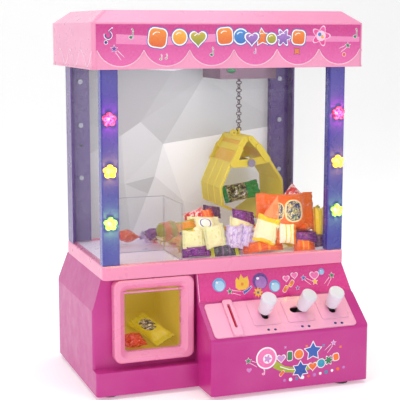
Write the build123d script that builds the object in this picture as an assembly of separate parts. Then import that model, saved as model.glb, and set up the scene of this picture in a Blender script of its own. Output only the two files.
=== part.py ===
from build123d import *
import os
from math import atan2, cos, degrees, hypot, radians, sin

# Toy claw crane machine. Millimetres, X to the right seen from the front,
# Y to the back, Z up, origin under the middle of the machine on the table.

# ---- driving dimensions ----
WALL = 2.2
FOOT_H = 4.0
FRONT_Y, BACK_Y = -101.8, 102.0
CASE_HALF = 139.0
CREASE_Z, CASE_TOP = 86.8, 119.4
TRAY_HALF, TRAY_FRONT, TRAY_BACK, TRAY_TOP = 129.9, -60.6, 91.7, 133.0
RECESS_Y, PLINTH_Y, PLINTH_Z = -51.3, -64.8, 27.9
CONSOLE_X = -33.0
CONSOLE_LOW_Z, CONSOLE_HIGH_Z, CONSOLE_HIGH_Y, STICKER_TOP_Y = 59.8, 89.0, -63.2, -54.5
ROOF_HALF, ROOF_FRONT, ROOF_BACK, ROOF_RIM = 140.8, -73.2, 97.5, 0.6
ROOF_LOW, ROOF_BAND, ROOF_TOP = 323.6, 367.1, 379.0
ROOF_INSET_X, ROOF_INSET_Y = 15.9, 14.5
DECK_TOP, DECK_T = 131.5, 2.0
HOLE_X, HOLE_Y = (-108.0, -48.0), (-49.0, 5.0)
POST_X, FRONT_POST_Y, BACK_POST_Y = (112.0, 129.3), (-57.5, -47.0), (78.0, 88.0)
PANE_T = 1.5
LED_Z = {"pink": 276.0, "yellow": 226.0, "green": 175.0}
DOOR_X, DOOR_Z, DOOR_FRONT = (-119.5, -36.5), (34.5, 118.5), -62.0
DOOR_OPEN_X, DOOR_OPEN_Z = (-108.0, -49.0), (45.0, 108.0)
DOOR_AXIS = (-58.6, 105.8)
CLAW_X, CLAW_Y, CLAW_Z, CLAW_TILT = 51.2, 40.0, 246.0, 5.0
JAW_DEPTH = 60.0
TROLLEY_HALF_X, TROLLEY_HALF_Y, TROLLEY_LOW, TROLLEY_TOP = 32.0, 26.8, 309.1, 341.0
RAIL_X, RAIL_Z, RAIL_R = 129.0, 336.0, 3.0
BAR_Y, BAR_LOW, BAR_HIGH = (28.0, 33.0), 333.0, 339.0
STICK_X, STICK_S, STICK_LEAN = (31.0, 68.5, 106.0), 19.5, (0.0, 8.5, 0.0)
STICK_PIVOT = -25.0
PLATE_T, PAD_T, STICKER_T = 1.2, 0.8, 0.2

SLOPE = atan2(CONSOLE_HIGH_Z - CONSOLE_LOW_Z, CONSOLE_HIGH_Y - FRONT_Y)
CONSOLE = Plane(
    origin=(0, CONSOLE_HIGH_Y, CONSOLE_HIGH_Z),
    x_dir=(1, 0, 0),
    z_dir=(0, -sin(SLOPE), cos(SLOPE)),
)
CLAW = Location((CLAW_X - 1.0, CLAW_Y, CLAW_Z), (0, -CLAW_TILT, 0))
LINK_PIVOT, KNEE, SHOULDER = (3.6, -1.0), (11.0, -10.5), (19.5, -25.0)
HUB_Z = -26.3
JAW_LINE = ((20.9, -23.7), (35.2, -49.6), (34.6, -68.5), (1.2, -86.4))
SCREEN_TOP = ROOF_LOW + 0.2
SCREW_Z = (305.7, 259.3, 202.5)


# ---- shape helpers ----
def block(x0, x1, y0, y1, z0, z1):
    centre = Pos((x0 + x1) / 2, (y0 + y1) / 2, (z0 + z1) / 2)
    return centre * Box(x1 - x0, y1 - y0, z1 - z0)


def slab_xy(sketch, z0, z1):
    return extrude(Plane.XY.offset(z0) * sketch, z1 - z0)


def slab_xz(sketch, y0, y1):
    return extrude(Plane.XZ.offset(-y1) * sketch, y1 - y0)


def slab_yz(sketch, x0, x1):
    return extrude(Plane.YZ.offset(x0) * sketch, x1 - x0)


def polygon(*points):
    return make_face(Polyline(*points, close=True))


def rounded(a0, a1, b0, b1, radius):
    return Pos((a0 + a1) / 2, (b0 + b1) / 2) * RectangleRounded(a1 - a0, b1 - b0, radius)


def capsule(p, q, radius):
    dx, dy = q[0] - p[0], q[1] - p[1]
    turn = Rot(0, 0, degrees(atan2(dy, dx)))
    middle = Pos((p[0] + q[0]) / 2, (p[1] + q[1]) / 2)
    return middle * turn * SlotCenterToCenter(hypot(dx, dy), 2 * radius)


def rod_x(x0, x1, y, z, radius):
    return Pos((x0 + x1) / 2, y, z) * Rot(0, 90, 0) * Cylinder(radius, x1 - x0)


def rod_y(x, y0, y1, z, radius):
    return Pos(x, (y0 + y1) / 2, z) * Rot(90, 0, 0) * Cylinder(radius, y1 - y0)


def rod_z(x, y, z0, z1, radius):
    return Pos(x, y, (z0 + z1) / 2) * Cylinder(radius, z1 - z0)


def mirrored_x(shape):
    return mirror(shape, about=Plane.YZ)


def both_sides(shape):
    return Compound(children=[shape, mirrored_x(shape)])


def group(shapes):
    return Compound(children=list(shapes))


# ---- base ----
def casing_views():
    front = polygon(
        (-CASE_HALF, FOOT_H), (CASE_HALF, FOOT_H), (CASE_HALF, CREASE_Z),
        (TRAY_HALF, CASE_TOP), (-TRAY_HALF, CASE_TOP), (-CASE_HALF, CREASE_Z),
    )
    body = polygon(
        (RECESS_Y, FOOT_H), (BACK_Y, FOOT_H), (BACK_Y, CREASE_Z),
        (TRAY_BACK - 0.7, CASE_TOP), (RECESS_Y, CASE_TOP),
    )
    console = polygon(
        (FRONT_Y, FOOT_H), (0, FOOT_H), (0, CASE_TOP), (STICKER_TOP_Y, CASE_TOP),
        (CONSOLE_HIGH_Y, CONSOLE_HIGH_Z), (FRONT_Y, CONSOLE_LOW_Z),
    )
    nose = console.vertices().sort_by_distance((FRONT_Y, CONSOLE_LOW_Z))[0]
    return front, body, fillet(nose, 7.0)


def casing_volume(inset):
    front, body, console = casing_views()
    if inset:
        front, body, console = (offset(v, -inset) for v in (front, body, console))
    low = FOOT_H + inset
    half = CASE_HALF - inset
    whole = slab_yz(body, -half, half)
    whole += slab_yz(console, CONSOLE_X + inset, half)
    whole += block(-half, CONSOLE_X + 4, PLINTH_Y + inset, RECESS_Y + 4, low, PLINTH_Z - inset)
    return whole & slab_xz(front, FRONT_Y + inset, BACK_Y - inset)


def bottom_outline(inset):
    half = CASE_HALF - inset
    outline = Pos(0, (RECESS_Y + BACK_Y) / 2) * Rectangle(2 * half, BACK_Y - RECESS_Y - 2 * inset)
    width = half - CONSOLE_X - inset
    outline += Pos(half - width / 2, (FRONT_Y + inset) / 2) * Rectangle(width, -FRONT_Y - inset)
    left = CONSOLE_X + 4 + half
    plinth_mid = Pos(CONSOLE_X + 4 - left / 2, (PLINTH_Y + inset) / 2)
    return outline + plinth_mid * Rectangle(left, -PLINTH_Y - inset)


def stick_gates(width, length):
    gates = []
    for k, x in enumerate(STICK_X):
        turn = 0 if k == 1 else 90
        gates.append(Pos(x, -STICK_S) * Rot(0, 0, turn) * SlotOverall(length, width))
    return gates


def coin_slit(width, length):
    return Pos(-3.85, -20.9) * Rot(0, 0, 90) * SlotOverall(length, width)


def through_console(sketches, low, high):
    return [extrude(CONSOLE.offset(low) * s, high - low) for s in sketches]


def rounded_casing():
    outline = bottom_outline(0)
    corners = outline.vertices().filter_by(lambda v: abs(v.X) > CASE_HALF - 1 or v.Y < FRONT_Y + 1)
    outer = casing_volume(0) & slab_xy(fillet(corners, 4.0), FOOT_H, CASE_TOP)
    upright = outer.edges().filter_by(Axis.Z).sort_by_distance((-CASE_HALF, RECESS_Y, 60))[0]
    return fillet(upright, 3.5)


def base_casing():
    shell = rounded_casing() - casing_volume(WALL)
    shell -= slab_xy(bottom_outline(WALL), FOOT_H - 1, FOOT_H + WALL + 1)
    shell -= block(-122, 122, RECESS_Y + WALL, 80, CASE_TOP - WALL - 1, CASE_TOP + 1)
    window = rounded(-110.5, -46.5, 42.5, 110.5, 5)
    shell -= slab_xz(window, RECESS_Y - 1, RECESS_Y + WALL + 1)
    for cut in through_console(stick_gates(10, 20) + [coin_slit(4, 31)], -WALL - 1, 1):
        shell -= cut
    shell -= block(60, 80, BACK_Y - WALL - 1, BACK_Y + 1, 30, 40)
    return shell


def base_plate():
    plate = slab_xy(bottom_outline(WALL + 0.2), FOOT_H, FOOT_H + 2.2)
    plate -= block(-1, 109, 5, 75, FOOT_H - 1, FOOT_H + 4)
    return plate


def battery_door():
    door = slab_xy(rounded(-0.6, 108.6, 5.4, 74.6, 2), FOOT_H, FOOT_H + 2.2)
    grip = group(block(20 + k * 4, 22 + k * 4, 8, 20, FOOT_H - 0.1, FOOT_H + 0.7) for k in range(5))
    return door - grip


def battery_box():
    outer = block(0.5, 107.5, 6.5, 73.5, FOOT_H + 2.4, 44)
    return outer - block(2, 106, 8, 72, FOOT_H + 1, 42.5)


def batteries():
    cells = []
    for k in range(3):
        x = 20.0 + 34.0 * k
        cell = rod_y(x, 9.5, 68.5, 25.5, 16.2) + rod_y(x, 68.5, 70.5, 25.5, 4.5)
        cells.append(cell)
    return group(cells)


def foot(x, y):
    return rod_z(x, y, 0, FOOT_H, 8)


def rubber_feet():
    spots = ((-122, 86), (122, 86), (114, -88), (-122, -48))
    return group(foot(x, y) for x, y in spots)


def screws():
    under = ((-100, 92), (0, 92), (112, 60), (128, -40), (20, -88), (-80, -50))
    shapes = [rod_z(x, y, FOOT_H - 1.4, FOOT_H, 2.6) for x, y in under]
    face = BACK_POST_Y[0]
    for x in (-116, 116):
        for z in SCREW_Z:
            head = rod_y(x, face - 1.4, face - 0.05, z, 2.6)
            shapes.append(head + rod_y(x, face - 0.1, face + 6, z, 1.2))
    return group(shapes)


def circuit_board():
    board = block(-20, 40, -40, 0, 14, 15.6)
    for x in (-12, 4, 20):
        board += block(x, x + 9, -30, -20, 15.6, 18)
    return board


def speaker():
    cone = rod_z(-70, 72, FOOT_H + 2.4, FOOT_H + 8, 20)
    return cone + rod_z(-70, 72, FOOT_H + 8, FOOT_H + 17, 11)


def power_switch_body():
    body = block(62, 78, BACK_Y - WALL - 8, BACK_Y - WALL - 0.2, 28, 42)
    return body - block(65, 75, BACK_Y - WALL - 4, BACK_Y, 33, 37)


def power_switch_knob():
    return block(66, 70, BACK_Y - WALL - 3.8, BACK_Y - 0.4, 33.3, 36.7)


# ---- control console ----
def plate_sketch():
    return rounded(-28.3, 126.8, -45.2, -2.2, 4)


def control_plate():
    solid = extrude(CONSOLE.offset(0.05) * plate_sketch(), PLATE_T)
    for x in STICK_X:
        pad = Pos(x, -20) * RectangleRounded(30, 30, 2.5)
        solid += extrude(CONSOLE.offset(PLATE_T) * pad, PAD_T)
    cuts = stick_gates(7.4, 17) + [coin_slit(3.4, 30.8)]
    for cut in through_console(cuts, -0.5, PLATE_T + PAD_T + 1):
        solid -= cut
    return solid


def coin_bar():
    bar = extrude(CONSOLE.offset(PLATE_T + 0.1) * rounded(-9, 1.3, -45.2, -0.4, 2.5), 2.4)
    return bar - through_console([coin_slit(2.9, 30.2)], -1, 5)[0]


def coin_chute():
    tube = Pos(-3.85, -20.9) * Rectangle(9, 36)
    hollow = Pos(-3.85, -20.9) * Rectangle(5, 32)
    walls = extrude(CONSOLE.offset(-WALL - 22) * tube, 21.8)
    return walls - through_console([hollow], -WALL - 23, 0)[0]


def coin_box():
    tray = block(-28, 14, -96, -60, FOOT_H + 2.4, 30)
    return tray - block(-26.5, 12.5, -94.5, -61.5, FOOT_H + 3.9, 31)


def stick_frame(k):
    turn = 90 if k == 1 else 0
    return CONSOLE * Pos(STICK_X[k], -STICK_S, STICK_PIVOT) * Rot(0, 0, turn)


def stick_pose(k):
    return stick_frame(k) * Rot(STICK_LEAN[k], 0, 0)


def joystick_lever(k):
    rise = -STICK_PIVOT
    stem = rod_z(0, 0, 0, rise + 7, 2.6)
    boss = rod_x(-4, 4, 0, 0, 5) + rod_z(0, 0, -13, 0, 2.2)
    lever = stem + boss + rod_z(0, 0, rise - 3, rise + 1.5, 3.1)
    return stick_pose(k) * (lever - rod_x(-6, 6, 0, 0, 1.56))


def joystick_knob(k):
    low, height, waist, cap = -STICK_PIVOT + 4.6, 20.9, 6.5, 8.25
    knob = Pos(0, 0, low + height / 2) * Cone(waist, cap, height)
    ends = knob.edges().filter_by(GeomType.CIRCLE)
    knob = fillet(ends, 1.6)
    return stick_pose(k) * (knob - rod_z(0, 0, low - 1, low + 2.5, 2.6))


def joystick_bracket(k):
    ears = block(-7, -4.6, -7, 7, -8, -STICK_PIVOT - WALL - 0.2)
    ears += block(4.6, 7, -7, 7, -8, -STICK_PIVOT - WALL - 0.2)
    for side in (-1, 1):
        ears += block(side * 9 - 4.5, side * 9 + 4.5, -7, 7, 20.8, -STICK_PIVOT - WALL - 0.2)
    gate = block(-5.3, 5.3, -11, 11, 20, 30)
    return stick_frame(k) * (ears - gate - rod_x(-8, 8, 0, 0, 1.5))


def joystick_pin(k):
    return stick_frame(k) * rod_x(-7.5, 7.5, 0, 0, 1.5)


def console_sticker():
    run = hypot(CONSOLE_HIGH_Y - STICKER_TOP_Y, CASE_TOP - CONSOLE_HIGH_Z)
    lean = degrees(atan2(STICKER_TOP_Y - CONSOLE_HIGH_Y, CASE_TOP - CONSOLE_HIGH_Z))
    low_half = CASE_HALF - 1.8
    high_half = TRAY_HALF - 0.6
    face = polygon(
        (CONSOLE_X + 1, 0.8), (low_half, 0.8), (high_half, run - 0.4), (CONSOLE_X + 1, run - 0.4)
    )
    tilt = Location((0, CONSOLE_HIGH_Y, CONSOLE_HIGH_Z), (90 - lean, 0, 0))
    return tilt * extrude(face, 0.3)


def front_sticker():
    outline = capsule((24, 36), (96, 27), 14) + capsule((52, 16), (110, 20), 6)
    return slab_xz(outline, FRONT_Y - STICKER_T, FRONT_Y)


# ---- prize door ----
def door_funnel():
    spread, depth = 5.5, 5.0
    (x0, x1), (z0, z1) = DOOR_OPEN_X, DOOR_OPEN_Z
    mouth = rounded(x0 - spread, x1 + spread, z0 - spread, z1 + spread, 7)
    throat = rounded(x0, x1, z0, z1, 4)
    return loft([
        Plane.XZ.offset(-DOOR_FRONT) * mouth,
        Plane.XZ.offset(-DOOR_FRONT - depth) * throat,
    ])


def prize_door_frame():
    outer = rounded(*DOOR_X, *DOOR_Z, 8)
    frame = slab_xz(outer, DOOR_FRONT, RECESS_Y - 0.05)
    front_edges = frame.faces().sort_by(Axis.Y)[0].edges()
    frame = fillet(front_edges, 2.4)
    frame -= slab_xz(rounded(*DOOR_OPEN_X, *DOOR_OPEN_Z, 4), DOOR_FRONT - 1, RECESS_Y + 1)
    frame -= door_funnel()
    y, z = DOOR_AXIS
    frame -= rod_x(DOOR_OPEN_X[0] - 3, DOOR_OPEN_X[1] + 3, y, z, 1.0)
    return frame


def prize_door():
    y, z = DOOR_AXIS
    x0, x1 = DOOR_OPEN_X[0] + 0.6, DOOR_OPEN_X[1] - 0.6
    flap = slab_xz(rounded(x0, x1, DOOR_OPEN_Z[0] + 0.7, z, 3), y - 0.8, y + 0.8)
    flap += rod_x(x0 + 3, x1 - 3, y, z, 1.9)
    return flap - rod_x(x0 - 1, x1 + 1, y, z, 1.06)


def prize_door_pin():
    y, z = DOOR_AXIS
    return rod_x(DOOR_OPEN_X[0] - 2.8, DOOR_OPEN_X[1] + 2.8, y, z, 1.0)


def chute_profile(inset):
    front = RECESS_Y + WALL + 0.2
    return polygon(
        (front, 38.4 + inset), (-5, 39.9 + inset), (40 - inset, 57 + inset),
        (40 - inset, 111 - inset), (7 - inset, CASE_TOP - 1.2 - inset),
        (7 - inset, CASE_TOP - 0.6), (front, CASE_TOP - 0.6),
    )


def prize_chute():
    shell = slab_yz(chute_profile(0), -111, -45)
    return shell - slab_yz(chute_profile(1.6), -109.4, -46.6)


# ---- play field ----
def tray_frame():
    outer = slab_xy(rounded(-TRAY_HALF, TRAY_HALF, TRAY_FRONT, TRAY_BACK, 5), CASE_TOP, TRAY_TOP)
    outer = fillet(outer.faces().sort_by(Axis.Z)[-1].edges(), 1.5)
    ledge_z = DECK_TOP - DECK_T - 0.1
    outer -= block(-123, 123, -52, 84, ledge_z, TRAY_TOP + 1)
    return outer - block(-118, 118, -52, 80, CASE_TOP - 1, ledge_z + 1)


def play_deck():
    deck = block(-122.8, 122.8, -51.8, 83.8, DECK_TOP - DECK_T, DECK_TOP)
    x0, x1 = HOLE_X
    y0, y1 = HOLE_Y
    deck += block(x0 - 2, x1 + 2, y0 - 2, y1 + 2, CASE_TOP + 0.1, DECK_TOP - DECK_T)
    return deck - block(x0, x1, y0, y1, CASE_TOP - 2, DECK_TOP + 1)


def chute_guard():
    top = 189.5
    wall = block(-46.5, -45, -50, 8.5, DECK_TOP + 0.1, top)
    return wall + block(-111, -46.5, 7, 8.5, DECK_TOP + 0.1, top)


def front_post():
    x0, x1 = POST_X
    y0, y1 = FRONT_POST_Y
    post = block(x0, x1, y0, y1, TRAY_TOP, SCREEN_TOP)
    post = fillet(post.edges().filter_by(Axis.Z).sort_by(Axis.Y)[:2], 1.5)
    post -= block(x0 + 2, x1 - 2, y0 + 2, y1 + 1, TRAY_TOP - 1, SCREEN_TOP + 1)
    for z in LED_Z.values():
        post -= rod_y((x0 + x1) / 2 + 1, y0 - 1, y0 + 3, z, 2.6)
    return post


def back_post():
    x0, x1 = 106.0, POST_X[1]
    y0, y1 = BACK_POST_Y
    profile = polygon(
        (x0, y0), (x1 - 1.8, y0), (x1 - 1.8, 66), (x1, 66), (x1, y1), (x1 - 2, y1),
        (x1 - 2, y0 + 2), (x0 + 2, y0 + 2), (x0 + 2, y1), (x0, y1),
    )
    post = slab_xy(profile, TRAY_TOP, SCREEN_TOP)
    for z in SCREW_Z + (237.6,):
        post -= rod_y(116, y0 - 1, y0 + 3, z, 1.4)
    return post


def led_lens(x, z):
    y = FRONT_POST_Y[0]
    flower = Circle(4.2)
    for k in range(5):
        a = radians(90 + 72 * k)
        flower += Pos(4.2 * cos(a), 4.2 * sin(a)) * Circle(2.6)
    lens = slab_xz(Pos(x, z) * flower, y - 2.6, y - 0.05)
    return lens + rod_y(x, y - 1, y + 4, z, 2.5)


def led_lenses():
    x = sum(POST_X) / 2 + 1
    return group(led_lens(side * x, z) for side in (-1, 1) for z in LED_Z.values())


def front_pane():
    return block(-111.8, 111.8, -53.5, -53.5 + PANE_T, TRAY_TOP, SCREEN_TOP)


def side_pane():
    return block(125.7, 125.7 + PANE_T, FRONT_POST_Y[1] + 0.2, 77.6, TRAY_TOP, SCREEN_TOP)


def back_panel():
    return block(-127.5, 127.5, 88.1, 89.6, TRAY_TOP, SCREEN_TOP)


# ---- roof ----
def roof_volume(inset, low):
    half, front, back = ROOF_HALF - inset, ROOF_FRONT + inset, ROOF_BACK - inset
    radius = 5.0 - inset * 0.8
    band = rounded(-half, half, front, back, radius)
    cap = rounded(
        -half + ROOF_INSET_X, half - ROOF_INSET_X, front + ROOF_INSET_Y, back - ROOF_INSET_Y, radius
    )
    volume = slab_xy(band, low, ROOF_BAND - inset * 0.4)
    hip = loft([
        Plane.XY.offset(ROOF_BAND - inset * 0.4) * band,
        Plane.XY.offset(ROOF_TOP - inset) * cap,
    ])
    return volume + hip


def roof_canopy():
    wide = ROOF_HALF + ROOF_RIM
    rim = slab_xy(rounded(-wide, wide, ROOF_FRONT, ROOF_BACK, 5), ROOF_LOW, ROOF_LOW + 1.8)
    return roof_volume(0, ROOF_LOW) + rim - roof_volume(2.4, ROOF_LOW - 1)


def marquee_outline(half, top, cusp, dip, count):
    pitch = 2 * half / count
    edges = [Line((-half, cusp), (-half, top)), Line((-half, top), (half, top))]
    edges.append(Line((half, top), (half, cusp)))
    for k in range(count):
        right = half - k * pitch
        middle = (right - pitch / 2, dip)
        edges.append(ThreePointArc((right, cusp), middle, (right - pitch, cusp)))
    return make_face(edges)


def marquee_sticker():
    outline = marquee_outline(ROOF_HALF - 3.6, ROOF_BAND - 1.5, 341.4, 326.6, 6)
    return slab_xz(outline, ROOF_FRONT - 0.3, ROOF_FRONT)


def ceiling_plate():
    half = ROOF_HALF - 2.7
    outline = rounded(-half, half, ROOF_FRONT + 2.7, ROOF_BACK - 2.7, 5)
    outer = slab_xy(outline, ROOF_LOW + 0.4, ROOF_LOW + 2.4)
    return outer - block(-112, 112, -48, 76, ROOF_LOW - 1, ROOF_LOW + 4)


def rail_brackets():
    stands = []
    for y in (-68, 89.6):
        stand = block(RAIL_X - 5, RAIL_X + 5, y, y + 4, ROOF_LOW + 2.5, RAIL_Z + 5)
        stands.append(stand - rod_y(RAIL_X, y - 1, y + 5, RAIL_Z, RAIL_R))
    return group([s for st in stands for s in (st, mirrored_x(st))])


# ---- gantry and trolley ----
AXLE_Y, AXLE_Z, DRIVE_R = CLAW_Y + 38.0, RAIL_Z + RAIL_R + 5.15, 5.0


def gantry_bridge():
    ends = block(RAIL_X - 5, RAIL_X + 5, CLAW_Y - 34, CLAW_Y + 34, RAIL_Z - 5.5, RAIL_Z + 2.6)
    ends += block(RAIL_X - 9, RAIL_X - 5.0, CLAW_Y - 34, CLAW_Y + 41.5, RAIL_Z - 5.5, AXLE_Z + 3.5)
    ends -= rod_y(RAIL_X, CLAW_Y - 40, CLAW_Y + 40, RAIL_Z, RAIL_R + 0.08)
    ends -= rod_x(RAIL_X - 12, RAIL_X + 6, AXLE_Y, AXLE_Z, 1.56)
    bridge = ends + mirrored_x(ends)
    for side in (-1, 1):
        y0, y1 = sorted(CLAW_Y + side * d for d in BAR_Y)
        bridge += block(-RAIL_X + 8, RAIL_X - 8, y0, y1, BAR_LOW, BAR_HIGH)
    return bridge


def gantry_axle():
    axle = rod_x(-RAIL_X - 3, RAIL_X + 3, AXLE_Y, AXLE_Z, 1.5)
    for side in (-1, 1):
        axle += rod_x(side * RAIL_X - 3, side * RAIL_X + 3, AXLE_Y, AXLE_Z, DRIVE_R)
    return axle


def gantry_motor():
    can = rod_x(92, 119.6, AXLE_Y, AXLE_Z, 5)
    return can - rod_x(90, 121, AXLE_Y, AXLE_Z, 1.6)


WHEEL_R = 4.0
WHEEL_Z = BAR_HIGH + WHEEL_R + 0.15
WHEEL_DX = 22.0


def trolley_housing():
    x0, x1 = CLAW_X - TROLLEY_HALF_X, CLAW_X + TROLLEY_HALF_X
    y0, y1 = CLAW_Y - TROLLEY_HALF_Y, CLAW_Y + TROLLEY_HALF_Y
    box = block(x0, x1, y0, y1, TROLLEY_LOW, TROLLEY_TOP)
    box -= block(x0 + 1.8, x1 - 1.8, y0 + 1.8, y1 - 1.8, TROLLEY_LOW + 1.8, TROLLEY_TOP + 1)
    for dx in (-WHEEL_DX, WHEEL_DX):
        for y in (y0, y1 - 1.8):
            x = CLAW_X + dx
            box += block(x - 4, x + 4, y, y + 1.8, TROLLEY_TOP - 1, WHEEL_Z + 4)
        box -= rod_y(CLAW_X + dx, y0 - 1, y1 + 1, WHEEL_Z, 1.56)
    box -= rod_z(CLAW_X, CLAW_Y, TROLLEY_LOW - 1, TROLLEY_LOW + 3, 3.6)
    return box - rod_x(x0 - 1, x1 + 1, CLAW_Y + 10.5, 326, 1.56)


def trolley_axle(side):
    x = CLAW_X + side * WHEEL_DX
    axle = rod_y(x, CLAW_Y - BAR_Y[1] + 0.6, CLAW_Y + BAR_Y[1] - 0.6, WHEEL_Z, 1.5)
    for k in (-1, 1):
        y0, y1 = sorted(CLAW_Y + k * d for d in (BAR_Y[0] + 0.4, BAR_Y[1] - 0.6))
        axle += rod_y(x, y0, y1, WHEEL_Z, WHEEL_R)
    return axle


def hoist_drum():
    y, z = CLAW_Y + 10.5, 326
    drum = rod_x(CLAW_X - TROLLEY_HALF_X, CLAW_X + 20, y, z, 1.5)
    drum += rod_x(CLAW_X - 28, CLAW_X + 6, y, z, 6)
    for x in (CLAW_X - 9, CLAW_X + 5):
        drum += rod_x(x, x + 1.5, y, z, 9)
    return drum


def trolley_motors():
    y, z = CLAW_Y + 10.5, 326
    hoist = rod_x(CLAW_X + 9, CLAW_X + 30, y, z, 9) - rod_x(CLAW_X + 8, CLAW_X + 21, y, z, 1.6)
    travel = rod_x(CLAW_X - 29, CLAW_X - 8, CLAW_Y - 14, 322, 9)
    return group([hoist, travel])


def chain_link():
    wire, half_gap, half_run = 0.55, 1.55, 1.2
    run = SlotCenterToCenter(2 * half_run, 2 * half_gap)
    path = Plane.XZ * run.faces()[0].outer_wire()
    start = path @ 0
    ring = Plane(origin=start, z_dir=path % 0) * Circle(wire)
    return sweep(ring, path)


def claw_chain():
    pitch, first, last = 4.2, CLAW_Z + 7.5, 337.0
    link = chain_link()
    count = int((last - first) / pitch) + 1
    links = []
    for k in range(count):
        turn = 0 if k % 2 == 0 else 90
        links.append(Pos(CLAW_X, CLAW_Y, first + pitch * k) * Rot(0, 0, turn) * link)
    return group(links)


# ---- claw, in its own upright frame: X across, Y deep, Z up from the link pivots ----
OUTER = (30.0, 32.7)
INNER = (27.0, 29.7)


def at_both_ends(sketch, layer):
    near, far = layer
    return slab_xz(sketch, -far, -near) + slab_xz(sketch, near, far)


def claw_head():
    head = slab_xz(rounded(-6.6, 6.6, -4.3, 2.2, 3.0), -26.6, 26.6)
    lug = slab_yz(Pos(0, 5.0) * Circle(3.3) + Pos(0, 2.5) * Rectangle(6.6, 5), -0.8, 0.8)
    lug -= rod_x(-2, 2, 0, 5.0, 1.9)
    eye = rod_y(0, -2, 2, 0, 3.4) - rod_y(0, -3, 3, 0, 1.5)
    head += Pos(1.0, 0, 0) * lug
    head += Pos(-4.6, 0, 4.4) * eye
    for side in (-1, 1):
        head -= rod_y(side * LINK_PIVOT[0], -30, 30, LINK_PIVOT[1], 1.2)
    return CLAW * head


def link_rods():
    rods = [rod_y(s * LINK_PIVOT[0], -31.6, 31.6, LINK_PIVOT[1], 1.2) for s in (-1, 1)]
    return CLAW * group(rods)


def claw_link(side):
    pivot = (side * LINK_PIVOT[0], LINK_PIVOT[1])
    knee = (side * KNEE[0], KNEE[1])
    near, far = INNER
    link = at_both_ends(capsule(pivot, knee, 3.2), (near + 0.2, far))
    start = tuple(p + (k - p) * 0.72 for p, k in zip(pivot, knee))
    end = tuple(p + (k - p) * 1.2 for p, k in zip(pivot, knee))
    link += slab_xz(capsule(start, end, 1.1), -near - 0.3, near + 0.3)
    link -= rod_y(pivot[0], -40, 40, pivot[1], 1.26)
    return CLAW * link


def claw_jaw(side):
    line = [(side * x, z) for x, z in JAW_LINE]
    scoop = slab_xz(trace(Polyline(*line), line_width=2.2), -JAW_DEPTH / 2, JAW_DEPTH / 2)
    shoulder = (side * SHOULDER[0], SHOULDER[1])
    knee = (side * KNEE[0], KNEE[1])
    arm_layer = OUTER if side < 0 else INNER
    jaw = scoop + at_both_ends(capsule(knee, shoulder, 3.4), OUTER)
    jaw += at_both_ends(capsule((0, HUB_Z), shoulder, 4.0), arm_layer)
    if side > 0:
        jaw += at_both_ends(Pos(*shoulder) * Circle(3.4), (INNER[0], OUTER[1]))
    jaw -= rod_y(0, -40, 40, HUB_Z, 2.06)
    return CLAW * jaw


def hub_pin():
    pin = rod_y(0, -33.4, 33.4, HUB_Z, 2.0)
    pin += rod_y(0, -34.8, -33.0, HUB_Z, 4.3) + rod_y(0, 33.0, 34.8, HUB_Z, 4.3)
    return CLAW * (pin + rod_y(0, -26.7, 26.7, HUB_Z, 3.6))


# ---- wrapped sweets ----
def sweets_pile():
    low = DECK_TOP + 0.3
    front = polygon(
        (-43, low), (122, low), (122, 150), (96, 158), (58, 163), (20, 166), (-20, 163), (-43, 152)
    )
    back = polygon((-60, low), (122, low), (122, 146), (60, 148), (-20, 147), (-54, 142))
    bag = Pos(76, -24, 177) * Rot(14, -9, 2) * Box(74, 12, 22)
    lone = Pos(-90, 32, low + 6) * Rot(0, 0, 25) * Box(26, 14, 11)
    return group([
        slab_xz(front, -46, 6),
        slab_xz(back, 9.2, 72),
        fillet(bag.edges(), 4),
        fillet(lone.edges(), 3),
    ])


def sweets_in_chute():
    long_one = Pos(-72, -28, 50.5) * Rot(0, 10, -18) * fillet(Box(44, 20, 13).edges(), 4)
    small_one = Pos(-99, -8, 50) * Rot(0, 0, 30) * fillet(Box(12, 20, 12).edges(), 3)
    return group([long_one, small_one])


def grabbed_sweet():
    sweet = Pos(-12, 0, -66.5) * Rot(0, 27, 0) * fillet(Box(32, 36, 10).edges(), 3)
    return CLAW * sweet


NODES = {
    "base_casing": base_casing(),
    "base_plate": base_plate(),
    "battery_door": battery_door(),
    "battery_box": battery_box(),
    "batteries": batteries(),
    "rubber_feet": rubber_feet(),
    "screws": screws(),
    "circuit_board": circuit_board(),
    "speaker": speaker(),
    "power_switch_body": power_switch_body(),
    "power_switch_knob": power_switch_knob(),
    "control_plate": control_plate(),
    "coin_bar": coin_bar(),
    "coin_chute": coin_chute(),
    "coin_box": coin_box(),
    "joystick_brackets": group(f(k) for k in range(3) for f in (joystick_bracket, joystick_pin)),
    "console_sticker": console_sticker(),
    "front_sticker": front_sticker(),
    "prize_door_frame": prize_door_frame(),
    "prize_door": prize_door(),
    "prize_door_pin": prize_door_pin(),
    "prize_chute": prize_chute(),
    "tray_frame": tray_frame(),
    "play_deck": play_deck(),
    "chute_guard": chute_guard(),
    "front_posts": both_sides(front_post()),
    "back_posts": both_sides(back_post()),
    "led_lenses": led_lenses(),
    "front_pane": front_pane(),
    "side_panes": both_sides(side_pane()),
    "back_panel": back_panel(),
    "roof_canopy": roof_canopy(),
    "marquee_sticker": marquee_sticker(),
    "ceiling_plate": ceiling_plate(),
    "guide_rails": both_sides(rod_y(RAIL_X, -66, 93, RAIL_Z, RAIL_R)),
    "rail_brackets": rail_brackets(),
    "gantry_bridge": gantry_bridge(),
    "gantry_axle": gantry_axle(),
    "gantry_motor": gantry_motor(),
    "trolley_housing": trolley_housing(),
    "trolley_motors": trolley_motors(),
    "hoist_drum": hoist_drum(),
    "claw_chain": claw_chain(),
    "claw_head": group([claw_head(), link_rods()]),
    "hub_pin": hub_pin(),
    "sweets_pile": sweets_pile(),
    "sweets_in_chute": sweets_in_chute(),
    "grabbed_sweet": grabbed_sweet(),
}
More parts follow.
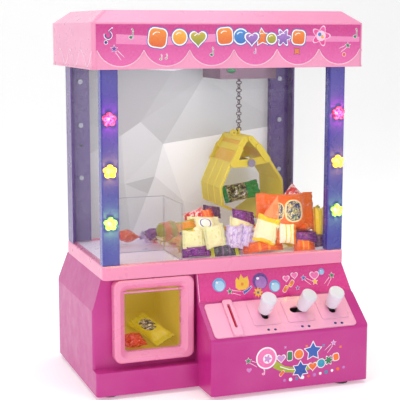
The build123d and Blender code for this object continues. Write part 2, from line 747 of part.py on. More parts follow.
for side, name in ((-1, "left"), (1, "right")):
    NODES[f"trolley_axle_{name}"] = trolley_axle(side)
    NODES[f"claw_link_{name}"] = claw_link(side)
    NODES[f"claw_jaw_{name}"] = claw_jaw(side)
for k in range(3):
    NODES[f"joystick_lever_{k + 1}"] = joystick_lever(k)
    NODES[f"joystick_knob_{k + 1}"] = joystick_knob(k)

os.makedirs("parts", exist_ok=True)
for name, shape in NODES.items():
    export_step(shape, f"parts/{name}.step")
print(len(NODES), "nodes written")
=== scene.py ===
from math import atan2, cos, hypot, pi, radians, sin
from random import Random

import bpy
from mathutils import Euler, Matrix, Vector


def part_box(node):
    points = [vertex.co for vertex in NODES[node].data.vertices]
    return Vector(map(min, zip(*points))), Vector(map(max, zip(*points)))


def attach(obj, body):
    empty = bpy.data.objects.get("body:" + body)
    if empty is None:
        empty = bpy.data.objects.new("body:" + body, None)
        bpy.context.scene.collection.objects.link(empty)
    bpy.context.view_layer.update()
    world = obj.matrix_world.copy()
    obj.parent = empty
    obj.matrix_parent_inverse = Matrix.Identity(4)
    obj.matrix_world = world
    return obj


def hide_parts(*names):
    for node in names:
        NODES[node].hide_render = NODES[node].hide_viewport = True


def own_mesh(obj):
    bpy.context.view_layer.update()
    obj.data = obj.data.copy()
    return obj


# Looks of the toy claw crane machine. Lengths below are in millimetres, in the CAD frame,
# and are turned to metres where meshes are made.
MM = 0.001

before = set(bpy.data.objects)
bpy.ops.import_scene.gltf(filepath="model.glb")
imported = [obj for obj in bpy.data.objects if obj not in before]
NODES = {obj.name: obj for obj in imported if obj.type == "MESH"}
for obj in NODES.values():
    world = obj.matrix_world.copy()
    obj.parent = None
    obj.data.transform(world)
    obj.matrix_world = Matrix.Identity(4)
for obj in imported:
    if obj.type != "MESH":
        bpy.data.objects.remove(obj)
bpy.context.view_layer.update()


def box_mm(node):
    low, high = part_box(node)
    return low / MM, high / MM


# ---- camera, lights, floor ----
TARGET = Vector((0.0, 0.0228, 0.1802))
VIEW_AZIMUTH, VIEW_ELEVATION, VIEW_DISTANCE, LENS = -19.95, 8.82, 1.177, 98.85
LED_WATTS = 0.05
LED_X = 121.65
# Each pair of lenses: its height and the colour of its glow.
LED_GLOWS = ((276.0, (1.0, 0.03, 0.2)), (226.0, (1.0, 0.6, 0.02)), (175.0, (0.35, 0.9, 0.05)))


def aim(obj, place, target):
    obj.location = place
    obj.rotation_euler = (target - place).to_track_quat("-Z", "Y").to_euler()
    bpy.context.scene.collection.objects.link(obj)


def place_camera():
    turn, rise = radians(VIEW_AZIMUTH), radians(VIEW_ELEVATION)
    out = Vector((sin(turn) * cos(rise), -cos(turn) * cos(rise), sin(rise)))
    data = bpy.data.cameras.new("camera")
    data.lens = LENS
    data.sensor_width = 36.0
    data.clip_start = 0.01
    camera = bpy.data.objects.new("camera", data)
    aim(camera, TARGET + out * VIEW_DISTANCE, TARGET)
    bpy.context.scene.camera = camera


def light(name, kind, place, power):
    data = bpy.data.lights.new(name, kind)
    data.energy = power
    made = bpy.data.objects.new(name, data)
    made.visible_camera = False
    aim(made, Vector(place), TARGET)
    return data


def area_light(name, place, size, power):
    data = light(name, "AREA", place, power)
    data.shape = "DISK"
    data.size = size


def led_light(place, colour):
    """A small coloured glow in front of one lens."""
    data = light("led_glow", "POINT", place, LED_WATTS)
    data.shadow_soft_size = 1.5 * MM
    data.color = colour


def light_studio():
    area_light("key_left", (-1.3, -0.7, 0.8), 0.9, 5.5)
    area_light("fill_front", (0.5, -1.5, 0.55), 1.0, 3.4)
    area_light("top_soft", (0.0, -0.1, 1.5), 1.2, 9.0)
    area_light("play_space", (0.0, -0.02, 0.312), 0.16, 0.09)
    lens_front = box_mm("led_lenses")[0].y
    for z, colour in LED_GLOWS:
        for side in (-1, 1):
            led_light(Vector((side * LED_X, lens_front - 5.0, z)) * MM, colour)
    world = bpy.data.worlds.new("studio")
    bpy.context.scene.world = world
    world.use_nodes = True
    background = world.node_tree.nodes["Background"]
    background.inputs["Color"].default_value = (1, 1, 1, 1)
    background.inputs["Strength"].default_value = 0.43
    bpy.context.scene.view_settings.view_transform = "Standard"


# ---- materials ----
def srgb(r, g, b):
    return tuple(((c / 255 + 0.055) / 1.055) ** 2.4 if c > 10 else c / 255 / 12.92 for c in (r, g, b))


def tint(colour, share):
    goal = 1.0 if share > 0 else 0.0
    return tuple(c + (goal - c) * abs(share) for c in colour)


class Paint:
    """A Principled material and short calls that add and link its nodes."""

    def __init__(self, name):
        self.material = bpy.data.materials.new(name)
        self.material.use_nodes = True
        self.tree = self.material.node_tree
        self.shader = self.tree.nodes["Principled BSDF"]

    def node(self, kind, **settings):
        made = self.tree.nodes.new("ShaderNode" + kind)
        for key, value in settings.items():
            setattr(made, key, value)
        return made

    def feed(self, socket, value):
        if isinstance(value, bpy.types.NodeSocket):
            self.tree.links.new(value, socket)
        else:
            socket.default_value = value

    def set(self, **values):
        for key, value in values.items():
            self.feed(self.shader.inputs[key.replace("_", " ")], value)

    def place(self, kind="Object"):
        return self.node("TexCoord").outputs[kind]

    def noise(self, where, scale, detail=2.0, rough=0.5):
        made = self.node("TexNoise")
        self.feed(made.inputs["Vector"], where)
        made.inputs["Scale"].default_value = scale
        made.inputs["Detail"].default_value = detail
        made.inputs["Roughness"].default_value = rough
        return made.outputs["Fac"]

    def stretch(self, where, scale):
        made = self.node("Mapping")
        self.feed(made.inputs["Vector"], where)
        made.inputs["Scale"].default_value = scale
        return made.outputs["Vector"]

    def span(self, value, a, b, c, d):
        made = self.node("MapRange")
        self.feed(made.inputs["Value"], value)
        for key, number in zip(("From Min", "From Max", "To Min", "To Max"), (a, b, c, d)):
            made.inputs[key].default_value = number
        return made.outputs["Result"]

    def vary(self, where, scale, detail, low, high, start=0.3):
        """Noise that drifts between low and high."""
        return self.span(self.noise(where, scale, detail), start, 0.7, low, high)

    def math(self, kind, a, b=0.0):
        made = self.node("Math", operation=kind)
        self.feed(made.inputs[0], a)
        self.feed(made.inputs[1], b)
        return made.outputs[0]

    def mix(self, share, a, b):
        made = self.node("Mix", data_type="RGBA")
        self.feed(made.inputs["Factor"], share)
        for key, value in (("A", a), ("B", b)):
            socket = [s for s in made.inputs if s.name == key and s.type == "RGBA"][0]
            self.feed(socket, value if isinstance(value, bpy.types.NodeSocket) else (*value, 1.0))
        return [s for s in made.outputs if s.type == "RGBA"][0]

    def ramp(self, value, stops):
        """Flat steps of colour."""
        made = self.node("ValToRGB")
        self.feed(made.inputs["Fac"], value)
        band = made.color_ramp
        band.interpolation = "CONSTANT"
        while len(band.elements) < len(stops):
            band.elements.new(0.5)
        for element, (at, colour) in zip(band.elements, stops):
            element.position = at
            element.color = (*colour, 1.0)
        return made.outputs["Color"]

    def axes(self, where):
        made = self.node("SeparateXYZ")
        self.feed(made.inputs[0], where)
        return made.outputs

    def edges(self, radius):
        """1 at sharp edges, 0 on open faces, and the rounded normal."""
        bevel = self.node("Bevel", samples=4)
        bevel.inputs["Radius"].default_value = radius
        geometry = self.node("NewGeometry")
        dot = self.node("VectorMath", operation="DOT_PRODUCT")
        self.feed(dot.inputs[0], bevel.outputs[0])
        self.feed(dot.inputs[1], geometry.outputs["Normal"])
        return self.span(dot.outputs["Value"], 0.99, 0.85, 0.0, 1.0), bevel.outputs[0]

    def oval(self, along, around, middle, wide, high):
        """Distance from an oval's centre on the front face of a pack."""
        dx = self.math("MULTIPLY", self.math("SUBTRACT", along, middle), wide)
        dy = self.math("MULTIPLY", self.math("SUBTRACT", around, 0.25), high)
        squares = self.math("ADD", self.math("MULTIPLY", dx, dx), self.math("MULTIPLY", dy, dy))
        return self.math("SQRT", squares)

    def print_inks(self, uv, scale, first, second, third):
        """Small mottled patches of three inks, standing in for a printed picture."""
        blotch = self.noise(self.stretch(uv, scale), 1.0, 2.0, 0.6)
        return self.ramp(blotch, ((0.0, first), (0.48, second), (0.53, first), (0.6, third)))

    def bump(self, height, strength, distance, normal=None):
        made = self.node("Bump")
        self.feed(made.inputs["Height"], height)
        made.inputs["Strength"].default_value = strength
        made.inputs["Distance"].default_value = distance
        if normal is not None:
            self.feed(made.inputs["Normal"], normal)
        self.feed(self.shader.inputs["Normal"], made.outputs[0])


def moulded(name, colour, rough=0.3, drift=0.05, grain=0.08, wear_and_highlight=0.08, coat=0.0, edge=0.5, lit=0.0):
    """Injection-moulded plastic: slow colour drift, paler edges that are part wear and part painted
    highlight, fine surface grain, and an optional painted glow from emission.
    """
    paint = Paint(name)
    colour = srgb(*colour)
    where = paint.place()
    base = paint.mix(paint.vary(where, 16.0, 3.0, 0.0, 1.0), tint(colour, -drift), tint(colour, drift))
    edge_mask, rounded = paint.edges(edge * MM)
    edge_patches = paint.noise(where, 240.0, 4.0)
    # Paler edges: part wear, part a painted highlight where light catches the rounded edges.
    share = paint.math("MULTIPLY", edge_mask, paint.span(edge_patches, 0.35, 0.75, wear_and_highlight * 0.4, wear_and_highlight))
    paint.set(Base_Color=paint.mix(share, base, tint(colour, 0.55)))
    paint.set(Roughness=paint.vary(where, 90.0, 3.0, rough * 0.85, rough * 1.2))
    if coat:
        paint.set(Coat_Weight=coat, Coat_Roughness=0.12)
    # A painted glow: the colour is also emitted, though the part is no lamp.
    if lit:
        paint.set(Emission_Color=base, Emission_Strength=lit)
    paint.bump(paint.noise(where, 1500.0, 2.0), grain, 0.03 * MM, rounded)
    return paint.material


def metal(name, colour, rough):
    """Brushed metal, streaked along its length."""
    paint = Paint(name)
    colour = srgb(*colour)
    where = paint.place()
    brushed = paint.noise(paint.stretch(where, (1.0, 1.0, 12.0)), 300.0, 3.0)
    paint.set(Base_Color=paint.mix(brushed, tint(colour, -0.12), tint(colour, 0.1)), Metallic=1.0)
    paint.set(Roughness=paint.span(brushed, 0.3, 0.7, rough * 0.7, rough * 1.3))
    paint.bump(brushed, 0.2, 0.02 * MM)
    return paint.material


def clear(name, colour, low, edge_alpha, glare, edge, edge_colour=None):
    """Thin clear sheet: nearly open on its faces and denser at its cut edges; whiter at a glancing view, a
    painted sheen standing in for reflection.
    """
    paint = Paint(name)
    colour = srgb(*colour)
    rim = srgb(*edge_colour) if edge_colour else tint(colour, -0.45)
    where = paint.place()
    edge_mask, rounded = paint.edges(edge * MM)
    facing = paint.node("LayerWeight")
    facing.inputs["Blend"].default_value = 0.35
    haze = paint.vary(where, 26.0, 4.0, low, low * 1.7, 0.35)
    sheen = paint.math("MULTIPLY", facing.outputs["Fresnel"], glare)
    cut = paint.math("MULTIPLY", edge_mask, edge_alpha)
    total = paint.math("ADD", paint.math("ADD", haze, sheen), cut)
    paint.set(Base_Color=paint.mix(edge_mask, colour, rim))
    paint.set(Alpha=paint.math("MINIMUM", total, 0.95), IOR=1.49)
    paint.set(Roughness=paint.vary(where, 60.0, 3.0, 0.03, 0.09))
    paint.bump(paint.noise(where, 40.0, 2.0), 0.05, 0.1 * MM, rounded)
    return paint.material


def ink(name, low_colour, high_colour, z, shine=0.25):
    """Print ink on film: a gradient up the picture, with a light mottle and a glossy film."""
    paint = Paint(name)
    where = paint.place()
    height = paint.span(paint.axes(where)[2], z[0] * MM, z[1] * MM, 0.0, 1.0)
    low = srgb(*low_colour)
    blend = paint.mix(height, low, srgb(*high_colour) if high_colour else tint(low, 0.08))
    mottle = paint.vary(where, 420.0, 3.0, 0.0, 0.06, 0.35)
    paint.set(Base_Color=paint.mix(mottle, blend, tint(low, 0.4)))
    paint.set(Roughness=paint.vary(where, 120.0, 2.0, shine * 0.8, shine * 1.3))
    paint.bump(paint.noise(where, 900.0), 0.1, 0.01 * MM)
    return paint.material


def inks(prefix, z, *rows):
    """The inks of one picture that runs between the heights z: a name and two colours each."""
    return [ink(f"{prefix}_{name}", low, high, z) for name, low, high in rows]


def lens_glow(name):
    """Lit flower lenses: each height has its own colour, whitened in small noise patches."""
    paint = Paint(name)
    where = paint.axes(paint.place())
    height = paint.span(where[2], 150.0 * MM, 300.0 * MM, 0.0, 1.0)
    pink, yellow, green = srgb(240, 0, 60), srgb(255, 200, 0), srgb(120, 205, 20)
    colour = paint.ramp(height, ((0.0, green), (0.34, yellow), (0.67, pink)))
    cells = paint.noise(paint.place(), 500.0, 2.0)
    shade = paint.mix(paint.span(cells, 0.4, 0.75, 0.0, 0.3), colour, (1, 1, 1))
    paint.set(Base_Color=shade, Emission_Color=shade, Emission_Strength=1.0, Roughness=0.18)
    paint.bump(cells, 0.4, 0.2 * MM)
    return paint.material


def wrapper(name, main, second, third, pattern, foil=0.0):
    """Sweet wrapper film: a printed pattern along the pack, crimped ends and creases, with painted highlights
    on the crease tops and a faint painted glow.
    """
    paint = Paint(name)
    uv = paint.place("UV")
    axes = paint.axes(uv)
    along, around = axes[0], axes[1]
    main, second, third = (srgb(*colour) for colour in (main, second, third))

    def under(value, limit):
        return paint.math("LESS_THAN", value, limit)

    def steps(value, tones, *ends):
        """Flat steps of the film's colours, numbered 1 to 3, changing at each of the ends."""
        colours = [{"1": main, "2": second, "3": third}[tone] for tone in tones]
        return paint.ramp(value, tuple(zip((0.0, *ends), colours)))

    if pattern == "bands":
        base = steps(along, "2131312", 0.13, 0.36, 0.42, 0.6, 0.66, 0.87)
    elif pattern == "halves":
        base = steps(around, "12121", 0.17, 0.36, 0.64, 0.84)
    elif pattern == "ends":
        base = steps(along, "23131", 0.2, 0.36, 0.52, 0.66)
    elif pattern == "badge":
        base = steps(paint.oval(along, around, 0.5, 3.4, 8.5), "3231", 0.5, 0.62, 0.74)
    elif pattern == "blotch":
        blotch = paint.noise(paint.stretch(uv, (6.0, 9.0, 1.0)), 1.0, 3.0, 0.6)
        base = steps(blotch, "12131", 0.5, 0.56, 0.64, 0.68)
    elif pattern == "spots":
        spots = paint.node("TexVoronoi")
        paint.feed(spots.inputs["Vector"], paint.stretch(uv, (7.0, 13.0, 1.0)))
        spots.inputs["Scale"].default_value = 1.0
        base = paint.mix(under(spots.outputs["Distance"], 0.28), main, second)
    elif pattern == "pair":
        mottled = paint.print_inks(uv, (22.0, 30.0, 1.0), second, third, (0.9, 0.7, 0.2))
        small = paint.oval(along, around, 0.34, 9.0, 12.0)
        near = paint.math("MINIMUM", small, paint.oval(along, around, 0.6, 4.4, 8.0))
        base = paint.mix(under(near, 0.75), main, paint.mix(under(near, 0.62), third, mottled))
    elif pattern == "patch":
        mottled = paint.print_inks(uv, (14.0, 16.0, 1.0), second, third, main)
        base = paint.mix(under(paint.oval(along, around, 0.46, 2.6, 5.6), 0.55), main, mottled)
    else:
        mottled = paint.print_inks(uv, (11.0, 16.0, 1.0), second, third, (0.9, 0.9, 0.85))
        ends = (under(along, 0.6), paint.math("GREATER_THAN", along, 0.1))
        base = paint.mix(paint.math("MULTIPLY", *ends), main, mottled)
    creases = paint.noise(paint.stretch(uv, (5.0, 26.0, 1.0)), 1.0, 4.0, 0.6)
    # Painted highlights: the film is whitened where the crease noise is highest.
    lit = paint.mix(paint.span(creases, 0.62, 0.7, 0.0, 0.7), base, (1, 1, 1))
    paint.set(Base_Color=lit, Metallic=foil)
    paint.set(Roughness=paint.span(creases, 0.3, 0.7, 0.168, 0.392))
    paint.set(Coat_Weight=0.45, Coat_Roughness=0.06)
    # A faint painted glow: the film's colour is also emitted, though a sweet is no lamp.
    paint.set(Emission_Color=base, Emission_Strength=0.12)
    ridges = paint.math("SINE", paint.math("MULTIPLY", along, 340.0))
    at_end = paint.math("GREATER_THAN", paint.math("ABSOLUTE", paint.math("SUBTRACT", along, 0.5)), 0.41)
    height = paint.math("ADD", creases, paint.math("MULTIPLY", paint.math("MULTIPLY", ridges, at_end), 0.25))
    paint.bump(height, 0.7, 0.7 * MM)
    return paint.material


# ---- mesh building ----
def build(name, verts, faces, material, slot, body="root", uvs=None, smooth=True, place=None):
    mesh = bpy.data.meshes.new(name)
    moved = [(place @ Vector(v) if place else Vector(v)) * MM for v in verts]
    mesh.from_pydata(moved, [], faces)
    if uvs:
        layer = mesh.uv_layers.new(name="UVMap")
        for loop in mesh.loops:
            layer.data[loop.index].uv = uvs[loop.vertex_index]
    mesh.polygons.foreach_set("use_smooth", [smooth] * len(mesh.polygons))
    mesh.update()
    mesh.validate()
    made = bpy.data.objects.new(name, mesh)
    bpy.context.scene.collection.objects.link(made)
    materials = material if isinstance(material, (list, tuple)) else [material]
    for entry in materials:
        mesh.materials.append(entry)
    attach(made, body)
    return made


def skin(rings, sides, turned=False):
    """Faces of a closed tube: a band between each two rings of verts, and a cap at each end."""
    faces = []
    for k in range(rings - 1):
        for j in range(sides):
            a, b = k * sides + j, k * sides + (j + 1) % sides
            faces.append((a, a + sides, b + sides, b) if turned else (a, b, b + sides, a + sides))
    first, last = tuple(range(sides)), tuple(range((rings - 1) * sides, rings * sides))
    return faces + ([first, last[::-1]] if turned else [first[::-1], last])


def tube(points, radius, sides=8):
    """Verts and faces of a round closed tube along a path."""
    path = [Vector(p) for p in points]
    verts = []
    normal = None
    for k, p in enumerate(path):
        ahead = path[min(k + 1, len(path) - 1)] - path[max(k - 1, 0)]
        ahead.normalize()
        if normal is None:
            normal = ahead.orthogonal().normalized()
        normal = (normal - ahead * normal.dot(ahead)).normalized()
        other = ahead.cross(normal)
        for j in range(sides):
            a = 2 * pi * j / sides
            verts.append(p + normal * radius * cos(a) + other * radius * sin(a))
    return verts, skin(len(path), sides)


def merge(parts):
    verts, faces = [], []
    for more_verts, more_faces in parts:
        start = len(verts)
        verts += list(more_verts)
        faces += [tuple(start + i for i in f) for f in more_faces]
    return verts, faces


# ---- flat printed artwork ----
class Artwork:
    """Thin cut shapes of film stacked on a flat face, gathered into one mesh for each ink."""

    STEP = 0.035

    def __init__(self, name, origin, across, up):
        self.name = name
        self.origin = Vector(origin)
        self.across = Vector(across).normalized()
        self.up = Vector(up).normalized()
        self.out = self.across.cross(self.up)
        self.parts = {}

    def add(self, inked, outline, layer):
        ring = outline if area(outline) > 0 else outline[::-1]
        flat = [self.origin + self.across * a + self.up * b for a, b in ring]
        verts = flat + [p + self.out * (self.STEP * layer) for p in flat]
        self.parts.setdefault(inked, []).append((verts, skin(2, len(ring))))

    def outlined(self, inked, rim, outline, layer, grow=0.9, line=False):
        self.add(rim, grown(outline, grow) if line else swollen(outline, grow), layer)
        self.add(inked, outline, layer + 1)

    def rimmed(self, rim, *rows):
        """Shapes with the same rim: an ink, an outline, a layer and the rim's width each."""
        for inked, outline, layer, grow in rows:
            self.outlined(inked, rim, outline, layer, grow)

    def finish(self, slot):
        return [
            build(f"{self.name}_{inked.name}", *merge(parts), inked, slot, smooth=False)
            for inked, parts in self.parts.items()
        ]


def area(outline):
    """Twice the outline's area, negative if it runs clockwise."""
    return sum(p[0] * q[1] - q[0] * p[1] for p, q in zip(outline, outline[1:] + outline[:1]))


def grown(outline, amount):
    """The outline pushed outward by an amount, corner by corner."""
    sign = 1 if area(outline) > 0 else -1
    pushed = []
    count = len(outline)
    for k in range(count):
        before, here, after = (Vector(outline[(k + d) % count]) for d in (-1, 0, 1))
        one, two = (here - before).normalized(), (after - here).normalized()
        normal = Vector((one.y + two.y, -one.x - two.x)) * sign
        if normal.length < 1e-6:
            normal = Vector((one.y, -one.x)) * sign
        normal.normalize()
        reach = amount / max(0.55, normal.dot(Vector((one.y, -one.x)) * sign))
        pushed.append(tuple(here + normal * reach))
    return pushed


def swollen(outline, amount):
    """The outline scaled up about its middle, for compact shapes."""
    middle = sum((Vector(p) for p in outline), Vector((0, 0))) / len(outline)
    reach = sum((Vector(p) - middle).length for p in outline) / len(outline)
    return [tuple(middle + (Vector(p) - middle) * (1 + amount / reach)) for p in outline]


def turns(count):
    """Even angles round a full turn."""
    return [2 * pi * k / count for k in range(count)]


def disc(x, y, radius, count=28, squeeze=1.0):
    return [(x + radius * cos(a), y + radius * squeeze * sin(a)) for a in turns(count)]


def star(x, y, radius, points=5, inner=0.45, turn=90.0):
    angles = [radians(turn + 180.0 * k / points) for k in range(2 * points)]
    corners = [(a, radius * (inner if k % 2 else 1)) for k, a in enumerate(angles)]
    return [(x + r * cos(a), y + r * sin(a)) for a, r in corners]


def flower(x, y, radius, petals=6, count=48):
    edge = [(a, radius * (0.78 + 0.22 * cos(petals * a))) for a in turns(count)]
    return [(x + r * cos(a), y + r * sin(a)) for a, r in edge]


def heart(x, y, size, count=30):
    outline = []
    for a in turns(count):
        across = 16 * sin(a) ** 3
        rise = 13 * cos(a) - 5 * cos(2 * a) - 2 * cos(3 * a) - cos(4 * a)
        outline.append((x + size * across / 17, y + size * rise / 17))
    return outline


def soft_block(x, y, width, height, corner, lean=0.0, count=5):
    """A rounded rectangle, leaning sideways by lean degrees."""
    outline = []
    for cx, cy, start in ((1, 1, 0), (-1, 1, 90), (-1, -1, 180), (1, -1, 270)):
        for k in range(count + 1):
            a = radians(start + 90 * k / count)
            px = cx * (width / 2 - corner) + corner * cos(a)
            py = cy * (height / 2 - corner) + corner * sin(a)
            outline.append((px, py))
    c, s = cos(radians(lean)), sin(radians(lean))
    return [(x + px * c - py * s, y + px * s + py * c) for px, py in outline]


def strip(points, width_start, width_end):
    """A tapering band that follows a list of points."""
    left, right = [], []
    count = len(points)
    for k, (x, y) in enumerate(points):
        ax, ay = points[max(k - 1, 0)]
        bx, by = points[min(k + 1, count - 1)]
        length = hypot(bx - ax, by - ay)
        nx, ny = -(by - ay) / length, (bx - ax) / length
        w = (width_start + (width_end - width_start) * k / (count - 1)) / 2
        left.append((x + nx * w, y + ny * w))
        right.append((x - nx * w, y - ny * w))
    return left + right[::-1]


def arc(x, y, radius, start, end, count):
    angles = [radians(start + (end - start) * k / count) for k in range(count + 1)]
    return [(x + radius * cos(a), y + radius * sin(a)) for a in angles]


def shooting(art, x, y, inked, white, size=3.0, way=(1.0, -0.8), length=9.0, layer=2):
    """A small star with two thin tails."""
    art.outlined(inked, white, star(x, y, size), layer, 0.5)
    wx, wy = Vector(way).normalized()
    for side in (-1, 1):
        sx, sy = x + wx * size * 1.1 - wy * side * 1.3, y + wy * size * 1.1 + wx * side * 1.3
        ex, ey = sx + wx * length - wy * side * 0.8, sy + wy * length + wx * side * 0.8
        art.add(white, strip([(sx, sy), ((sx + ex) / 2, (sy + ey) / 2), (ex, ey)], 0.5, 0.25), layer)


def quaver(art, x, y, inked, rim, size=1.0, layer=2):
    """A plain music note: a head, a stem and a flag."""
    art.outlined(inked, rim, disc(x, y, 1.9 * size, 16, 0.75), layer, 0.4)
    stem = strip([(x + 1.7 * size, y), (x + 1.7 * size, y + 6.5 * size)], 0.7 * size, 0.7 * size)
    art.outlined(inked, rim, stem, layer + 2, 0.3, True)
    flag = strip(arc(x - 0.4 * size, y + 5.6 * size, 2.4 * size, 60, 0, 5), 1.1 * size, 0.4 * size)
    art.outlined(inked, rim, flag, layer + 4, 0.3, True)


# ---- wrapped sweets ----
def pillow(length, width, thick, rng, crimp=0.16):
    """A pillow pack: a puffed body that flattens to two serrated, crimped ends."""
    rings, sides = 26, 24
    verts, uvs = [], []
    dent = [rng.uniform(0, 2 * pi) for _ in range(4)]
    body_end = 1 - 2 * crimp
    for i in range(rings + 1):
        u = i / rings
        s = 2 * u - 1
        inside = min(1.0, abs(s) / body_end)
        puff = max(0.0, 1 - inside ** 2.6) ** 0.55
        half_w = width / 2 * (1.0 - 0.10 * puff)
        half_t = thick / 2 * puff + 0.22
        for j in range(sides):
            a = 2 * pi * j / sides
            cy, sz = cos(a), sin(a)
            y = half_w * abs(cy) ** 0.7 * (1 if cy >= 0 else -1)
            z = half_t * abs(sz) ** 0.8 * (1 if sz >= 0 else -1)
            fold = sin(5 * a + dent[0]) * sin(3 * s + dent[1]) + 0.6 * sin(9 * a + dent[2] + 4 * s)
            z += fold * thick * 0.035 * min(1.0, puff * 2)
            gather = sin(y / width * 34 + dent[3]) * 0.35 * inside ** 4 * (1 - abs(s)) * 3
            x = s * length / 2
            if i in (0, rings):
                x += (0.6 if j % 2 else -0.35) * (1 if s > 0 else -1)
            verts.append((x, y, z + gather))
            uvs.append((u, j / sides))
    return verts, skin(rings + 1, sides, turned=True), uvs


def twist(length, width, rng):
    """A twist-wrapped sweet: a rounded body with a gathered neck and a fanned tail at each end."""
    rings, sides = 34, 30
    verts, uvs = [], []
    start = rng.uniform(0, 2 * pi)
    for i in range(rings + 1):
        u = i / rings
        s = 2 * u - 1
        r = abs(s)
        if r < 0.55:
            radius, fan = width / 2 * (1 - (r / 0.55) ** 3) ** 0.5 + width * 0.1, 0.0
        else:
            out = (r - 0.55) / 0.45
            radius, fan = width * (0.1 + 0.42 * out ** 0.8), out
        for j in range(sides):
            a = 2 * pi * j / sides + s * 1.4
            wave = 1 + 0.28 * fan * sin(7 * a + start) + 0.05 * sin(4 * a + 9 * s)
            flat = 1 - 0.55 * fan
            reach = s * length / 2 + 0.8 * fan * sin(11 * a)
            verts.append((reach, radius * wave * cos(a), radius * wave * flat * sin(a)))
            uvs.append((u, j / sides))
    return verts, skin(rings + 1, sides, turned=True), uvs


def lay(centre, turn):
    return Matrix.Translation(Vector(centre)) @ Euler([radians(t) for t in turn]).to_matrix().to_4x4()


def sweet(name, centre, size, turn, film, rng, twisted=False, node="sweets_pile", body="root", place=None):
    """One wrapped sweet, which stands for a CAD node of plain sweets."""
    length, width, thick = size
    verts, faces, uvs = twist(length, width, rng) if twisted else pillow(length, width, thick, rng)
    spot = (place or Matrix.Identity(4)) @ lay(centre, turn)
    made = build(name, verts, faces, film, "sweet_wrap", body, uvs, place=spot)
    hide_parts(node)
    return made


def flatten(made):
    """Gives the sweet its own copy of its mesh."""
    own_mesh(made)


# ---- dress the CAD nodes ----
PANEL_HEIGHTS = (88.0, 120.0)


def dress_nodes():
    """Every CAD node that shows gets its material."""
    # Emission on the claw, chute, deck, coin chute and back panel is a painted glow, as these are no lamps;
    # paler edges are part wear, part painted highlight.
    looks = (
        ("base_casing base_plate battery_door",
         moulded("casing_magenta", (196, 20, 138), 0.34, 0.04, grain=0.06, coat=0.1)),
        ("tray_frame prize_door_frame",
         moulded("trim_pink", (244, 142, 184), 0.3, 0.03, wear_and_highlight=0.12, coat=0.2)),
        ("roof_canopy", moulded("roof_pink", (244, 150, 190), 0.3, 0.03, wear_and_highlight=0.1, coat=0.25)),
        ("battery_box speaker power_switch_body power_switch_knob coin_box joystick_brackets rail_brackets "
         "hoist_drum joystick_lever_1 joystick_lever_2 joystick_lever_3",
         moulded("inner_black", (34, 32, 36), 0.5, 0.1)),
        ("front_posts ceiling_plate",
         moulded("post_violet", (50, 46, 160), 0.26, 0.06, wear_and_highlight=0.5, coat=0.3, edge=0.8)),
        ("back_posts", moulded("post_purple", (84, 44, 136), 0.28, 0.06, wear_and_highlight=0.4, coat=0.3)),
        ("guide_rails gantry_axle gantry_motor trolley_motors trolley_axle_left trolley_axle_right",
         metal("rail_steel", (190, 190, 196), 0.32)),
        ("trolley_housing gantry_bridge", moulded("trolley_mauve", (112, 86, 106), 0.42, 0.07, wear_and_highlight=0.25)),
        ("claw_chain", metal("chain_dark", (112, 90, 100), 0.4)),
        ("claw_head claw_link_left claw_link_right claw_jaw_left claw_jaw_right",
         moulded("claw_yellow", (212, 190, 0), 0.42, 0.06, wear_and_highlight=0.25, lit=0.12)),
        ("hub_pin", moulded("pin_grey", (140, 125, 150), 0.35)),
        ("prize_chute", moulded("chute_olive", (206, 180, 0), 0.5, 0.06, wear_and_highlight=0.05, lit=0.2)),
        ("play_deck", moulded("deck_lilac", (240, 230, 250), 0.3, 0.03, lit=0.12)),
        ("joystick_knob_1 joystick_knob_2 joystick_knob_3",
         moulded("knob_white", (226, 222, 234), 0.3, 0.02, wear_and_highlight=0.3, coat=0.2, edge=0.7)),
        ("control_plate coin_bar",
         moulded("plate_pink", (250, 172, 206), 0.3, 0.03, wear_and_highlight=0.5, coat=0.2, edge=1.1)),
        ("coin_chute", moulded("coin_red", (206, 24, 70), 0.4, lit=0.6)),
        ("prize_door_pin", moulded("door_pin_pink", (240, 140, 188), 0.3)),
        ("front_pane side_panes", clear("pane_clear", (236, 240, 248), 0.008, 0.4, 0.06, 0.6)),
        ("chute_guard", clear("guard_clear", (226, 226, 240), 0.03, 0.95, 0.14, 1.0, (104, 84, 122))),
        ("prize_door", clear("flap_clear", (250, 220, 236), 0.006, 0.3, 0.04, 0.9)),
        ("console_sticker", ink("panel_magenta", (214, 8, 132), (222, 20, 142), PANEL_HEIGHTS, 0.22)),
        ("marquee_sticker", ink("marquee_magenta", (236, 104, 176), (206, 44, 138), (326.0, 362.0))),
        ("led_lenses", lens_glow("led_lens")),
        ("back_panel", moulded("back_white", (226, 227, 230), 0.3, 0.02, lit=0.12)),
        ("rubber_feet", moulded("foot_rubber", (26, 24, 26), 0.7, 0.1, grain=0.6)),
        ("screws", metal("screw_steel", (150, 150, 166), 0.3)),
        ("batteries", moulded("battery_wrap", (40, 60, 110), 0.3)),
        ("circuit_board", moulded("board_green", (24, 96, 52), 0.4)),
    )
    for names, material in looks:
        for name in names.split():
            for slot in NODES[name].material_slots:
                slot.material = material


# ---- roof, marquee and side relief ----
SCALLOPS = 6
SCALLOP_TOP, SCALLOP_LOW = 341.4, 326.4


def scallop_curve(half, count, steps=14):
    """Points of the hanging scallops, each an arc between two cusps."""
    pitch = 2 * half / count
    drop = SCALLOP_TOP - SCALLOP_LOW
    radius = ((pitch / 2) ** 2 + drop ** 2) / (2 * drop)
    points = []
    for k in range(count):
        middle = -half + pitch * (k + 0.5)
        for j in range(steps + 1):
            x = middle - pitch / 2 + pitch * j / steps
            rise = radius - (radius ** 2 - (x - middle) ** 2) ** 0.5
            points.append((x, SCALLOP_LOW + rise))
    return points


